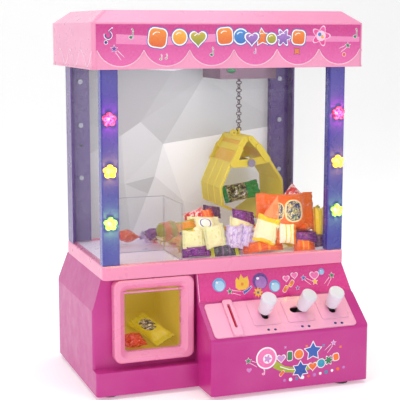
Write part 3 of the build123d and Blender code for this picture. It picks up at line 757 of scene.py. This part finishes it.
def marquee_art():
    low, high = box_mm("marquee_sticker")
    face = low.y
    half = high.x
    white, pale, blue, navy, green = inks(
        "film", (320.0, 370.0), ("white", (252, 250, 252), (255, 255, 255)),
        ("pale", (255, 196, 224), (255, 210, 232)), ("blue", (52, 86, 170), (70, 110, 190)),
        ("navy", (34, 28, 110), (60, 50, 150)), ("green", (18, 96, 66), (40, 130, 90)),
    )
    orange, amber, lime, sky, plum = inks(
        "film", (344.0, 363.0), ("orange", (226, 88, 24), (248, 150, 40)),
        ("amber", (238, 126, 26), (250, 196, 60)), ("lime", (120, 140, 30), (226, 190, 50)),
        ("sky", (30, 96, 184), (70, 150, 220)), ("plum", (116, 64, 160), (190, 140, 220)),
    )
    ribbon_ink = ink("film_ribbon", (238, 120, 180), (240, 150, 198), (340.0, 362.0))
    art = Artwork("marquee", (0, face, 0), (1, 0, 0), (0, 0, 1))
    ribbon = [(-118, 352), (-70, 350), (0, 354), (60, 352), (136, 351)]
    art.add(ribbon_ink, strip(ribbon, 9.0, 5.0), 1)
    badges = (
        (-77.4, 353.0, 17, orange, "block"), (-55.5, 353.5, 13, amber, "disc"),
        (-36.8, 352.5, 13, lime, "heart"), (-9.5, 354.5, 15, orange, "block"), (7.0, 354.0, 13, sky, "disc"),
        (18.6, 352.0, 11, plum, "heart"), (29.4, 353.2, 12, orange, "star"), (39.5, 352.0, 9, lime, "disc"),
        (52.0, 353.0, 13, plum, "flower"), (68.5, 353.0, 13, orange, "block"),
    )
    for k, (x, z, size, inked, shape) in enumerate(badges):
        lean = (-8, 5, -4, 6, -5)[k % 5]
        outline = {
            "block": lambda: soft_block(x, z, size, size, size * 0.3, lean),
            "disc": lambda: disc(x, z, size * 0.52),
            "heart": lambda: heart(x, z, size * 0.62),
            "star": lambda: star(x, z, size * 0.68, inner=0.55, turn=90 + lean),
            "flower": lambda: flower(x, z, size * 0.6, 6),
        }[shape]()
        layer = 2 + 3 * (k % 2)
        art.add(blue, swollen(outline, 2.0), layer)
        art.add(white, swollen(outline, 1.2), layer + 1)
        art.add(inked, outline, layer + 2)
        shine = strip(arc(x - size * 0.02, z + size * 0.02, size * 0.3, 150, 60, 6), 1.0, 0.5)
        art.add(white, shine, layer + 3)
    curl = arc(-125.5, 355.5, 3.0, -200, 80, 14)
    art.outlined(navy, white, strip(curl + [(-121.8, 361.5)], 1.3, 0.9), 2, 0.6)
    art.outlined(navy, white, disc(-127.8, 348.9, 1.5, 14), 2, 0.5)
    for x, z, inked, size in (
        (-103.5, 353.5, green, 1.0), (-74.4, 333.0, lime, 0.55), (-69.0, 333.8, lime, 0.5),
        (-23.0, 336.8, green, 0.9), (22.0, 338.5, plum, 0.5), (131.0, 353.8, green, 1.0),
    ):
        quaver(art, x, z, inked, white, size)
    shooting(art, -120.0, 343.0, plum, white, 3.2, (0.8, -0.9), 9.0)
    shooting(art, 123.0, 345.0, green, white, 2.8, (-0.9, -0.5), 7.0)
    art.outlined(amber, navy, star(67.0, 339.6, 4.2, 4, 0.5, 45), 2, 0.6)
    art.outlined(orange, pale, disc(119.0, 336.0, 1.6, 14), 2, 0.6)
    rose = ink("film_rose", (232, 40, 140), (240, 90, 170), (344.0, 364.0))
    art.outlined(rose, pale, flower(93.0, 354.5, 9.5, 5), 2, 1.0)
    art.add(pale, disc(93.0, 354.5, 5.2), 4)
    art.add(sky, disc(91.5, 356.0, 1.9), 5)
    art.add(amber, soft_block(94.4, 353.6, 2.6, 3.6, 0.8, 20), 5)
    art.finish("marquee_print")
    points = [(x, face - 0.05, z) for x, z in scallop_curve(half - 0.6, SCALLOPS)]
    rim = moulded("piping_pale", (255, 205, 226), 0.28)
    build("marquee_piping", *tube(points, 0.5), rim, "trim_pink")


# The falling and the rising half of a swag: start, run and bow in depth, then z, rise and curl, and radius.
SWAG_HALVES = ((0.0, 22.5, 0.75, 341.4, -15.6, 1.7, 0.5), (22.5, 21.0, 1.0, 325.8, 15.0, 2.4, 0.45))


def side_swags():
    """Raised hanging folds on the two sides of the roof."""
    roof_low, roof_high = box_mm("roof_canopy")
    parts = []
    for side in (-1, 1):
        wall = side * (roof_high.x - 0.6)
        for top_y in (63.7, 20.4, -26.5):
            for start, run, bow, z, rise, curl, radius in SWAG_HALVES:
                points = []
                for k in range(13):
                    t = k / 12
                    y = top_y - start - run * t ** bow
                    points.append((wall, max(y, roof_low.y + 3), z + rise * t ** curl))
                parts.append(tube(points, radius, 6))
    # The folds are a paler pink than the roof: a painted highlight along each fold.
    rim = moulded("swag_highlight", (255, 222, 238), 0.28)
    build("roof_side_swags", *merge(parts), rim, "trim_pink")


# ---- console artwork ----
def bubble(art, x, y, radius, deep, pale, white, layer=2):
    art.add(deep, disc(x, y, radius), layer)
    art.add(pale, disc(x + radius * 0.08, y - radius * 0.16, radius * 0.74), layer + 1)
    art.add(white, disc(x - radius * 0.3, y + radius * 0.36, radius * 0.2, 16, 0.8), layer + 2)


def panel_art():
    low, high = box_mm("console_sticker")
    up = Vector((0, 8.7, 30.4)).normalized()
    out = Vector((1, 0, 0)).cross(up)
    origin = Vector((0, -63.2, 89.0)) + out * 0.3
    span = (high.z - low.z) / up.z
    white, azure, frost, grape, mauve, gold, green, blue, orange, rose = inks(
        "panel", PANEL_HEIGHTS, ("white", (255, 240, 248), (255, 250, 252)),
        ("azure", (90, 150, 215), (110, 175, 230)), ("frost", (190, 225, 245), (150, 200, 236)),
        ("grape", (110, 40, 150), (84, 40, 140)), ("mauve", (190, 130, 205), (140, 80, 175)),
        ("gold", (240, 180, 20), (250, 205, 50)), ("green", (30, 110, 60), (50, 140, 80)),
        ("blue", (40, 80, 180), (60, 110, 200)), ("orange", (226, 96, 20), (240, 140, 40)),
        ("rose", (245, 90, 175), (250, 120, 190)),
    )
    art = Artwork("panel", origin, (1, 0, 0), up)

    def at(z):
        return (z - 89.0) / up.z

    for x, z, radius, deep, light_ink in (
        (-9.1, 105.7, 7.0, azure, frost), (36.0, 106.0, 8.5, grape, mauve),
        (51.5, 100.1, 6.2, azure, frost), (105.9, 110.4, 3.4, azure, frost),
    ):
        bubble(art, x, at(z), radius, deep, light_ink, white)
    crown = [(8.6, 101.5), (9.0, 108.5), (10.5, 111.5), (12.5, 108.8), (15.4, 114.6), (18.0, 110.0)]
    crown += [(22.5, 112.0), (23.6, 106.0), (22.8, 101.8), (19.5, 99.2), (12.0, 99.0)]
    art.add(gold, [(x, at(z)) for x, z in crown], 2)
    art.add(orange, disc(16.0, at(104.6), 1.6, 14), 3)
    stroke = strip([(16.5, at(96.0)), (21.0, at(98.0)), (26.0, at(101.5))], 3.0, 1.2)
    art.outlined(blue, white, stroke, 2, 0.3, True)
    shooting(art, 1.9, at(98.6), green, white, 3.0, (1.0, -0.25), 9.0)
    art.outlined(gold, orange, flower(32.5, at(95.2), 5.0, 8), 5, 0.4)
    art.add(blue, disc(32.5, at(95.2), 1.3, 14), 8)
    for x, z, size in ((65.2, 106.5, 4.2), (74.6, 108.9, 4.4)):
        art.add(white, heart(x, at(z), size), 2)
        art.add(rose, heart(x, at(z), size * 0.8), 3)
    for x, z in ((63.2, 96.2), (70.6, 101.2)):
        art.outlined(orange, white, soft_block(x, at(z), 7.0, 3.6, 1.7, 52), 2, 0.6)
    art.add(gold, strip([(63.5, at(97)), (70.0, at(100.6))], 1.4, 1.4), 5)
    shooting(art, 84.7, at(105.6), blue, white, 2.8, (0.9, -0.6), 8.0)
    art.outlined(rose, white, heart(97.4, at(107.2), 5.0), 2, 0.7)
    art.outlined(gold, white, star(97.4, at(101.0), 3.2), 5, 0.5)
    shooting(art, 117.4, at(105.9), green, white, 3.0, (-0.75, -0.9), 9.0)
    art.outlined(blue, white, star(77.0, at(96.2), 2.0), 2, 0.4)
    art.add(white, strip([(-31.5, 1.6), (-31.5, span - 0.6)], 0.35, 0.35), 1)
    art.finish("console_print")


def front_art():
    low, high = box_mm("front_sticker")
    art = Artwork("front", (0, high.y, 0), (1, 0, 0), (0, 0, 1))
    art.STEP = (high.y - low.y) / 6.2
    white, pink, blue, orange, lime, green, lilac, teal = inks(
        "front", (10.0, 52.0), ("white", (252, 246, 252), None),
        ("pink", (236, 90, 165), (246, 130, 190)), ("blue", (26, 70, 160), (50, 100, 190)),
        ("orange", (232, 90, 30), (248, 140, 40)), ("lime", (150, 164, 20), (180, 190, 40)),
        ("green", (30, 110, 70), (60, 140, 90)), ("lilac", (190, 120, 200), (215, 150, 215)),
        ("teal", (30, 140, 180), (60, 170, 200)),
    )
    sweep_line = [(34, 30.5), (44, 24.5), (58, 22.0), (72, 23.5), (88, 30.5)]
    art.add(lime, strip(sweep_line, 7.5, 3.5), 1)
    art.add(white, strip([(40, 27.6), (50, 23.6), (62, 22.6)], 1.0, 0.6), 2)
    art.outlined(pink, white, disc(25.1, 38.0, 9.8, 36), 2, 1.5)
    art.add(white, disc(26.3, 37.2, 4.9, 24), 4)
    art.add(lilac, flower(26.3, 37.2, 4.2, 5), 5)
    art.rimmed(
        white,
        (lilac, heart(41.0, 36.0, 4.4), 2, 0.8),
        (green, soft_block(50.5, 37.6, 5.4, 9.0, 1.6, 0), 3, 0.8),
        (orange, disc(60.6, 38.4, 4.6, 20), 2, 0.8),
        (blue, star(76.1, 40.2, 9.2, 5, 0.52), 4, 1.3),
        (blue, star(62.4, 22.2, 8.6, 6, 0.6), 4, 1.1),
        (orange, heart(76.0, 24.4, 4.6), 3, 0.8),
        (teal, disc(85.4, 26.4, 4.2, 20), 4, 0.8),
        (green, flower(93.8, 28.8, 4.6, 6), 3, 0.7),
        (orange, soft_block(102.0, 31.4, 6.0, 7.0, 2.0, 10), 4, 0.8),
    )
    for k in range(11):
        t = k / 10
        x, y = 45.0 + 66.0 * t, 12.9 + 6.6 * t ** 1.6
        shade = (lilac, white, teal, white, orange)[k % 5]
        art.add(shade, disc(x, y, 1.5 + 0.4 * (k % 2), 14), 2 + k % 2)
    shooting(art, 5.6, 37.0, green, white, 3.2, (1.0, -0.5), 8.0)
    shooting(art, 99.0, 46.4, lilac, white, 2.6, (-0.8, -0.8), 9.0)
    art.outlined(lilac, pink, heart(6.5, 27.5, 2.6), 2, 0.4)
    quaver(art, 22.0, 22.0, pink, white, 0.6, 1)
    art.outlined(orange, white, soft_block(42.0, 20.5, 6.5, 3.0, 1.4, 48), 2, 0.4)
    for x, y, inked in ((45.5, 47.0, lilac), (69.0, 46.0, orange), (88.0, 44.8, teal), (107.0, 41.5, orange)):
        art.add(inked, star(x, y, 1.8, 4, 0.5, 45), 2)
    for made in art.finish("console_print"):
        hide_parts("front_sticker")


def console_marks():
    slope = atan2(29.2, 38.6)
    up = Vector((0, cos(slope), sin(slope)))
    out = Vector((1, 0, 0)).cross(up)
    origin = Vector((0, -63.2, 89.0)) + out * 1.25
    art = Artwork("plate", origin, (1, 0, 0), up)
    navy = ink("plate_navy", (24, 40, 110), (30, 50, 120), (60.0, 90.0))
    for x in (33.0, 70.0, 107.0):
        for shift, drop in ((-3.6, -40.8), (3.6, -41.4)):
            art.add(navy, disc(x + shift, drop, 1.55, 18, 0.85), 3)
    art.finish("console_print")


# ---- back panel facets ----
def back_facets():
    """The printed back: broad flat facets in pale greys, on a thin film, with a painted glow from emission to
    brighten them.
    """
    low, high = box_mm("back_panel")
    x0, x1, z0, z1 = low.x + 0.4, high.x - 0.4, low.z + 0.4, high.z - 0.4
    points = {
        "sw": (x0, z0), "se": (x1, z0), "ne": (x1, z1), "nw": (x0, z1),
        "w1": (x0, 268), "w2": (x0, 214), "s1": (-58, z0), "s2": (12, z0), "e1": (x1, 253), "n1": (44, z1),
        "a": (-20, 235), "b": (-30, 199), "c": (3, 170), "d": (-46, 260), "e": (-68, 246),
        "f": (27, 307), "h": (-65, 192), "i": (-38, 180), "top": (-8, z1 - 8),
    }
    facets = (
        ("nw top n1", 236), ("nw w1 e d top", 178), ("top d f n1", 185), ("n1 f e1 ne", 210),
        ("d a f", 190), ("a e1 f", 204), ("a c e1", 247), ("a b c", 236), ("c se e1", 242), ("c s2 se", 236),
        ("w1 w2 e", 184), ("e h a d", 210), ("h b a", 214), ("h i b", 190), ("w2 h e", 200),
        ("w2 sw s1 h", 196), ("h s1 i", 206), ("i s1 s2 c b", 224),
    )
    keys = list(points)
    count = len(keys)
    verts = [(points[k][0], low.y - gap, points[k][1]) for gap in (0.06, 0.02) for k in keys]
    shades = sorted({shade for _, shade in facets})
    greys = [moulded(f"facet_{v}", (v - 3, v, v + 4), 0.4, 0.01, grain=0.1, lit=0.14) for v in shades]
    faces, tones = [], []
    for names, shade in facets:
        face = tuple(keys.index(name) for name in names.split())
        faces += [face, tuple(count + v for v in reversed(face))]
        tones += [shades.index(shade)] * 2
    rim = [keys.index(name) for name in "sw s1 s2 se e1 ne n1 nw w1 w2".split()]
    for k, a in enumerate(rim):
        b = rim[(k + 1) % len(rim)]
        faces.append((b, a, a + count, b + count))
        tones.append(0)
    made = build("back_panel_facets", verts, faces, greys, "back_print", smooth=False)
    for polygon, tone in zip(made.data.polygons, tones):
        polygon.material_index = tone


# ---- claw details ----
CLAW_PLACE = lay((50.2, 40.0, 246.0), (0, -5.0, 0))
SIDES = ((-1, "left"), (1, "right"))
JAW_LINE = ((20.9, -23.7), (35.2, -49.6), (34.6, -68.5), (1.2, -86.4))


def jaw_ribs():
    """Raised ribs down the outside of each jaw, following its folds."""
    # A paler copy of the claw yellow: a painted highlight along each rib, with a painted glow.
    rib_highlight = moulded("claw_rib_highlight", (240, 224, 90), 0.32, 0.03, lit=0.1)
    for side, hand in SIDES:
        line = [Vector((side * x, 0, z)) for x, z in JAW_LINE]
        path = []
        for p, q in zip(line, line[1:]):
            along = (q - p).normalized()
            outward = Vector((-along.z, 0, along.x))
            if outward.dot(Vector((side, 0, -0.5))) < 0:
                outward = -outward
            for t in (0.04, 0.35, 0.65, 0.96):
                path.append(p + (q - p) * t + outward * 1.15)
        across = [Vector((0, y, 0)) for y in (-29.2, -10.0, 10.0, 29.2)]
        ribs = merge(tube([p + shift for p in path], 0.55, 6) for shift in across)
        build(f"jaw_ribs_{hand}", *ribs, rib_highlight, "claw_yellow", f"jaw_{hand}", place=CLAW_PLACE)


def claw_plates():
    """Wide folded plates of the claw: one on each link, one on each jaw above its shoulder."""
    # These plates also get a painted glow from emission, though they are no lamp.
    amber = moulded("claw_amber", (208, 162, 0), 0.42, 0.05, wear_and_highlight=0.25, lit=0.15)
    half_depth, half_thick = 26.7, 0.5
    plates = (("link", (4.6, -2.2), (10.2, -9.4)), ("jaw", (12.4, -13.0), (19.2, -24.4)))
    for side, hand in SIDES:
        for part, top, bottom in plates:
            p, q = Vector((side * top[0], 0, top[1])), Vector((side * bottom[0], 0, bottom[1]))
            along = (q - p).normalized()
            off = Vector((-along.z, 0, along.x)) * half_thick
            ring = (p + off, q + off, q - off, p - off)
            verts = [v + Vector((0, y, 0)) for y in (-half_depth, half_depth) for v in ring]
            faces = skin(2, 4, turned=off.z * side >= 0)
            name = f"{part}_plate_{hand}"
            build(name, verts, faces, amber, "claw_yellow", f"{part}_{hand}", smooth=False, place=CLAW_PLACE)


def trolley_lamp():
    """The small green dome on the front of the trolley, near its top."""
    verts = []
    rings, sides = 5, 20
    for k in range(rings):
        a = radians(88.0 * k / (rings - 1))
        for j in range(sides):
            b = 2 * pi * j / sides
            verts.append((31.6 + 5.0 * cos(a) * cos(b), 13.3 - 1.6 * sin(a), 318.0 + 2.6 * cos(a) * sin(b)))
    green = moulded("lamp_green", (10, 110, 70), 0.3, coat=0.4)
    build("trolley_lamp", verts, skin(rings, sides), green, "claw_yellow", "trolley")


# ---- sweets ----
# Where the back heap leaves a gap for the claw, in millimetres.
CLAW_X, CLAW_REACH, CLAW_LOW = 50, 40, 140


def wraps():
    """Named wrapper films."""
    rows = (
        ("orange", (238, 96, 0), (214, 70, 0), (250, 150, 30), "bands"),
        ("orange_art", (240, 104, 0), (52, 60, 104), (250, 214, 160), "pair"),
        ("peach", (250, 152, 100), (244, 132, 78), (250, 184, 140), "blotch"),
        ("red", (220, 30, 34), (250, 236, 230), (240, 90, 60), "blotch"),
        ("purple", (132, 36, 138), (90, 20, 100), (214, 150, 220), "blotch", 0.3),
        ("plum", (100, 44, 96), (64, 26, 64), (160, 100, 160), "blotch", 0.2),
        ("gold", (244, 200, 20), (236, 160, 10), (252, 226, 120), "bands"),
        ("olive", (186, 168, 14), (228, 140, 20), (224, 208, 80), "halves"),
        ("cream", (240, 232, 176), (228, 216, 140), (250, 246, 236), "spots"),
        ("oval", (240, 232, 176), (96, 84, 140), (250, 246, 236), "badge"),
        ("long", (222, 120, 30), (140, 50, 150), (170, 160, 10), "ends"),
        ("ember", (232, 74, 18), (200, 30, 20), (250, 200, 150), "blotch"),
        ("lemon", (226, 208, 0), (50, 44, 50), (250, 236, 214), "patch"),
        ("roll", (6, 150, 66), (52, 22, 46), (196, 200, 110), "roll"),
        ("lilac", (222, 202, 232), (186, 150, 210), (246, 238, 250), "blotch"),
        ("split", (246, 206, 20), (250, 240, 196), (236, 120, 20), "halves"),
        ("tricolour", (250, 236, 210), (236, 112, 20), (246, 200, 30), "bands"),
        ("dark", (70, 56, 74), (206, 200, 20), (120, 90, 120), "bands"),
    )
    return {row[0]: wrapper("wrap_" + row[0], *row[1:]) for row in rows}


def placed_sweets(films):
    """The sweets that show in front, each in its own place: centre, size and turn."""
    rng = Random(5)
    front = (
        ("cream_pack_1", (-28, -38, 150), (25, 19, 9), (74, 2, 0), "cream"),
        ("cream_pack_2", (-6, -39, 152), (22, 24, 9), (76, -6, 4), "cream"),
        ("oval_pack", (-13, -26, 162), (34, 20, 9), (52, 4, 0), "oval"),
        ("lilac_pack_1", (15.6, -40, 150), (18, 25, 8), (80, 4, 0), "lilac"),
        ("lilac_pack_2", (28, -38, 150), (14, 24, 8), (78, 12, 0), "lilac"),
        ("lilac_pack_3", (38, -36, 146), (20, 18, 8), (70, -4, 4), "lilac"),
        ("purple_pack_1", (-27, -41, 138), (30, 11, 9), (76, -1, 0), "purple"),
        ("dark_pack", (4, -40, 137), (31, 13, 9), (66, -1, 0), "dark"),
        ("split_pack", (51, -40, 155), (25, 30, 9), (74, 20, -4), "split"),
        ("tricolour_pack", (73.5, -40, 150), (23, 22, 8), (72, 8, 4), "tricolour"),
        ("purple_pack_2", (96, -40, 145), (24, 11, 8), (70, 3, 0), "purple"),
        ("gold_pack", (115, -33, 158), (14, 34, 9), (80, 3, 8), "gold"),
        ("orange_pack_1", (46, -41, 138.5), (44, 12, 8), (64, -2, 0), "orange"),
        ("orange_pack_2", (93, -42, 137), (24, 13, 8), (70, 2, 0), "orange"),
        ("plum_pack_2", (115, -40, 140), (18, 14, 8), (66, 0, 0), "plum"),
        ("big_bag", (78, -26, 171), (66, 40, 15), (78, 2, 3), "orange_art"),
        ("red_peak", (94, -12, 181), (24, 25, 8), (80, 42, 0), "red"),
        ("gold_peak", (118, -18, 160), (20, 24, 10), (70, -20, 10), "olive"),
        ("plum_pack_1", (3, -6, 172), (20, 13, 8), (60, 12, 10), "plum"),
        ("lilac_pack_4", (33, -20, 166), (24, 18, 8), (50, 12, 0), "purple"),
        ("tan_pack", (27, -30, 160), (28, 12, 7), (50, 22, 0), "cream"),
        ("red_pack", (-18, -12, 169), (22, 14, 8), (64, -18, 0), "red"),
        ("orange_pack_3", (-6, -12, 169), (16, 14, 8), (60, -10, 0), "orange"),
        ("olive_pack", (-33, -28, 163), (18, 11, 8), (62, -10, 0), "olive"),
    )
    for name, centre, size, turn, film in front:
        made = sweet(name, centre, size, turn, films[film], rng)
        flatten(made)


def bag_flap(films):
    """The folded peach end of the big bag: a creased three-cornered sheet."""
    front = [(39, -33, 157), (50, -39, 158), (66, -37, 161), (66, -34, 190), (54, -37, 176)]
    verts = front + [(x, y + 1.2, z) for x, y, z in front]
    faces = [(0, 1, 4), (1, 2, 4), (2, 3, 4), (3, 0, 4)]
    faces += [tuple(5 + i for i in reversed(face)) for face in faces]
    for a, b in ((0, 1), (1, 2), (2, 3), (3, 0)):
        faces.append((b, a, a + 5, b + 5))
    uvs = [(0.2 + 0.01 * x, 0.004 * z) for x, y, z in verts]
    made = build("big_bag_flap", verts, faces, films["peach"], "sweet_wrap", uvs=uvs, smooth=False)
    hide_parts("sweets_pile")
    flatten(made)


def halves(count):
    return [k + 0.5 for k in range(count)]


def heap_fill(films):
    """Loose layers of sweets under and behind the ones in front, with a gap where the claw comes down."""
    rng = Random(23)
    names = ("orange", "red", "purple", "gold", "cream", "lilac", "tricolour", "olive", "plum", "split")
    heaps = (
        ("front", "gantry_slide", 0.45, (-38, 112), (-36, -2), ((136.5, 9, 2), (145.0, 8, 2), (153.5, 6, 2))),
        ("back", "claw_hoist", 0.25, (-52, 112), (18, 64), ((136.5, 8, 3), (142.5, 7, 3))),
    )
    for heap, joint, keep, (x0, x1), (y0, y1), layers in heaps:
        cells = [(z, i / n, j / m) for z, n, m in layers for i in halves(n) for j in halves(m)]
        for count, (z, across, deep) in enumerate(cells):
            x = x0 + (x1 - x0) * across + rng.uniform(-4, 4)
            y = y0 + (y1 - y0) * deep + rng.uniform(-3, 3)
            size = (rng.uniform(19, 25), rng.uniform(13, 17), rng.uniform(7, 9))
            turn = (rng.uniform(-12, 12), rng.uniform(-12, 12), rng.uniform(-50, 50))
            twisted = rng.random() < 0.2
            film = films[names[rng.randrange(len(names))]]
            if heap == "back" and z > CLAW_LOW and abs(x - CLAW_X) < CLAW_REACH:
                continue
            made = sweet(f"heap_{heap}_{count:02d}", (x, y, z), size, turn, film, rng, twisted)
            flatten(made)


def lone_sweets(films):
    """Single sweets on the deck, in the chute and in the claw."""
    rng = Random(9)
    sweet("long_sweet", (-36, 24, 148), (46, 18, 12), (0, -6, 4), films["long"], rng, True)
    sweet("lone_sweet", (-77, 40, 143), (25, 16, 11), (20, 0, 25), films["ember"], rng)
    for name, centre, size, turn, film in (
        ("chute_sweet_long", (-67.5, -11, 53), (64, 22, 11), (24, 8.5, -76.4), "lemon"),
        ("chute_sweet_red", (-93, -35, 50), (26, 18, 11), (30, 4, 20), "ember"),
    ):
        sweet(name, centre, size, turn, films[film], rng, node="sweets_in_chute")
    sweet(
        "grabbed_sweet_pack", (-1, 0, -61.5), (42, 20, 15), (66, -3, 0), films["roll"], rng,
        node="grabbed_sweet", body="jaw_left", place=CLAW_PLACE,
    )


def floor():
    """A pale studio sweep: level under the machine, curving up far behind it."""
    paint = Paint("studio_floor")
    where = paint.place()
    pale = paint.mix(paint.noise(where, 3.0), (0.93, 0.93, 0.935), (0.96, 0.96, 0.96))
    paint.set(Base_Color=pale, Roughness=0.7, Emission_Color=(1, 1, 1, 1), Emission_Strength=0.3)
    profile = [(-9000.0, 0.0), (1200.0, 0.0)]
    for k in range(1, 13):
        a = radians(7.5 * k)
        profile.append((1200.0 + 900.0 * sin(a), 900.0 * (1 - cos(a))))
    profile.append((2100.0, 3200.0))
    verts = [(x, y, z - 0.02) for y, z in profile for x in (-12000.0, 12000.0)]
    faces = [(2 * k, 2 * k + 1, 2 * k + 3, 2 * k + 2) for k in range(len(profile) - 1)]
    mesh = bpy.data.meshes.new("floor")
    mesh.from_pydata([Vector(v) * MM for v in verts], [], faces)
    mesh.polygons.foreach_set("use_smooth", [True] * len(mesh.polygons))
    made = bpy.data.objects.new("floor", mesh)
    bpy.context.scene.collection.objects.link(made)
    mesh.materials.append(paint.material)


place_camera()
light_studio()
dress_nodes()
marquee_art()
side_swags()
panel_art()
front_art()
console_marks()
back_facets()
jaw_ribs()
claw_plates()
trolley_lamp()
films = wraps()
placed_sweets(films)
bag_flap(films)
heap_fill(films)
lone_sweets(films)
floor()
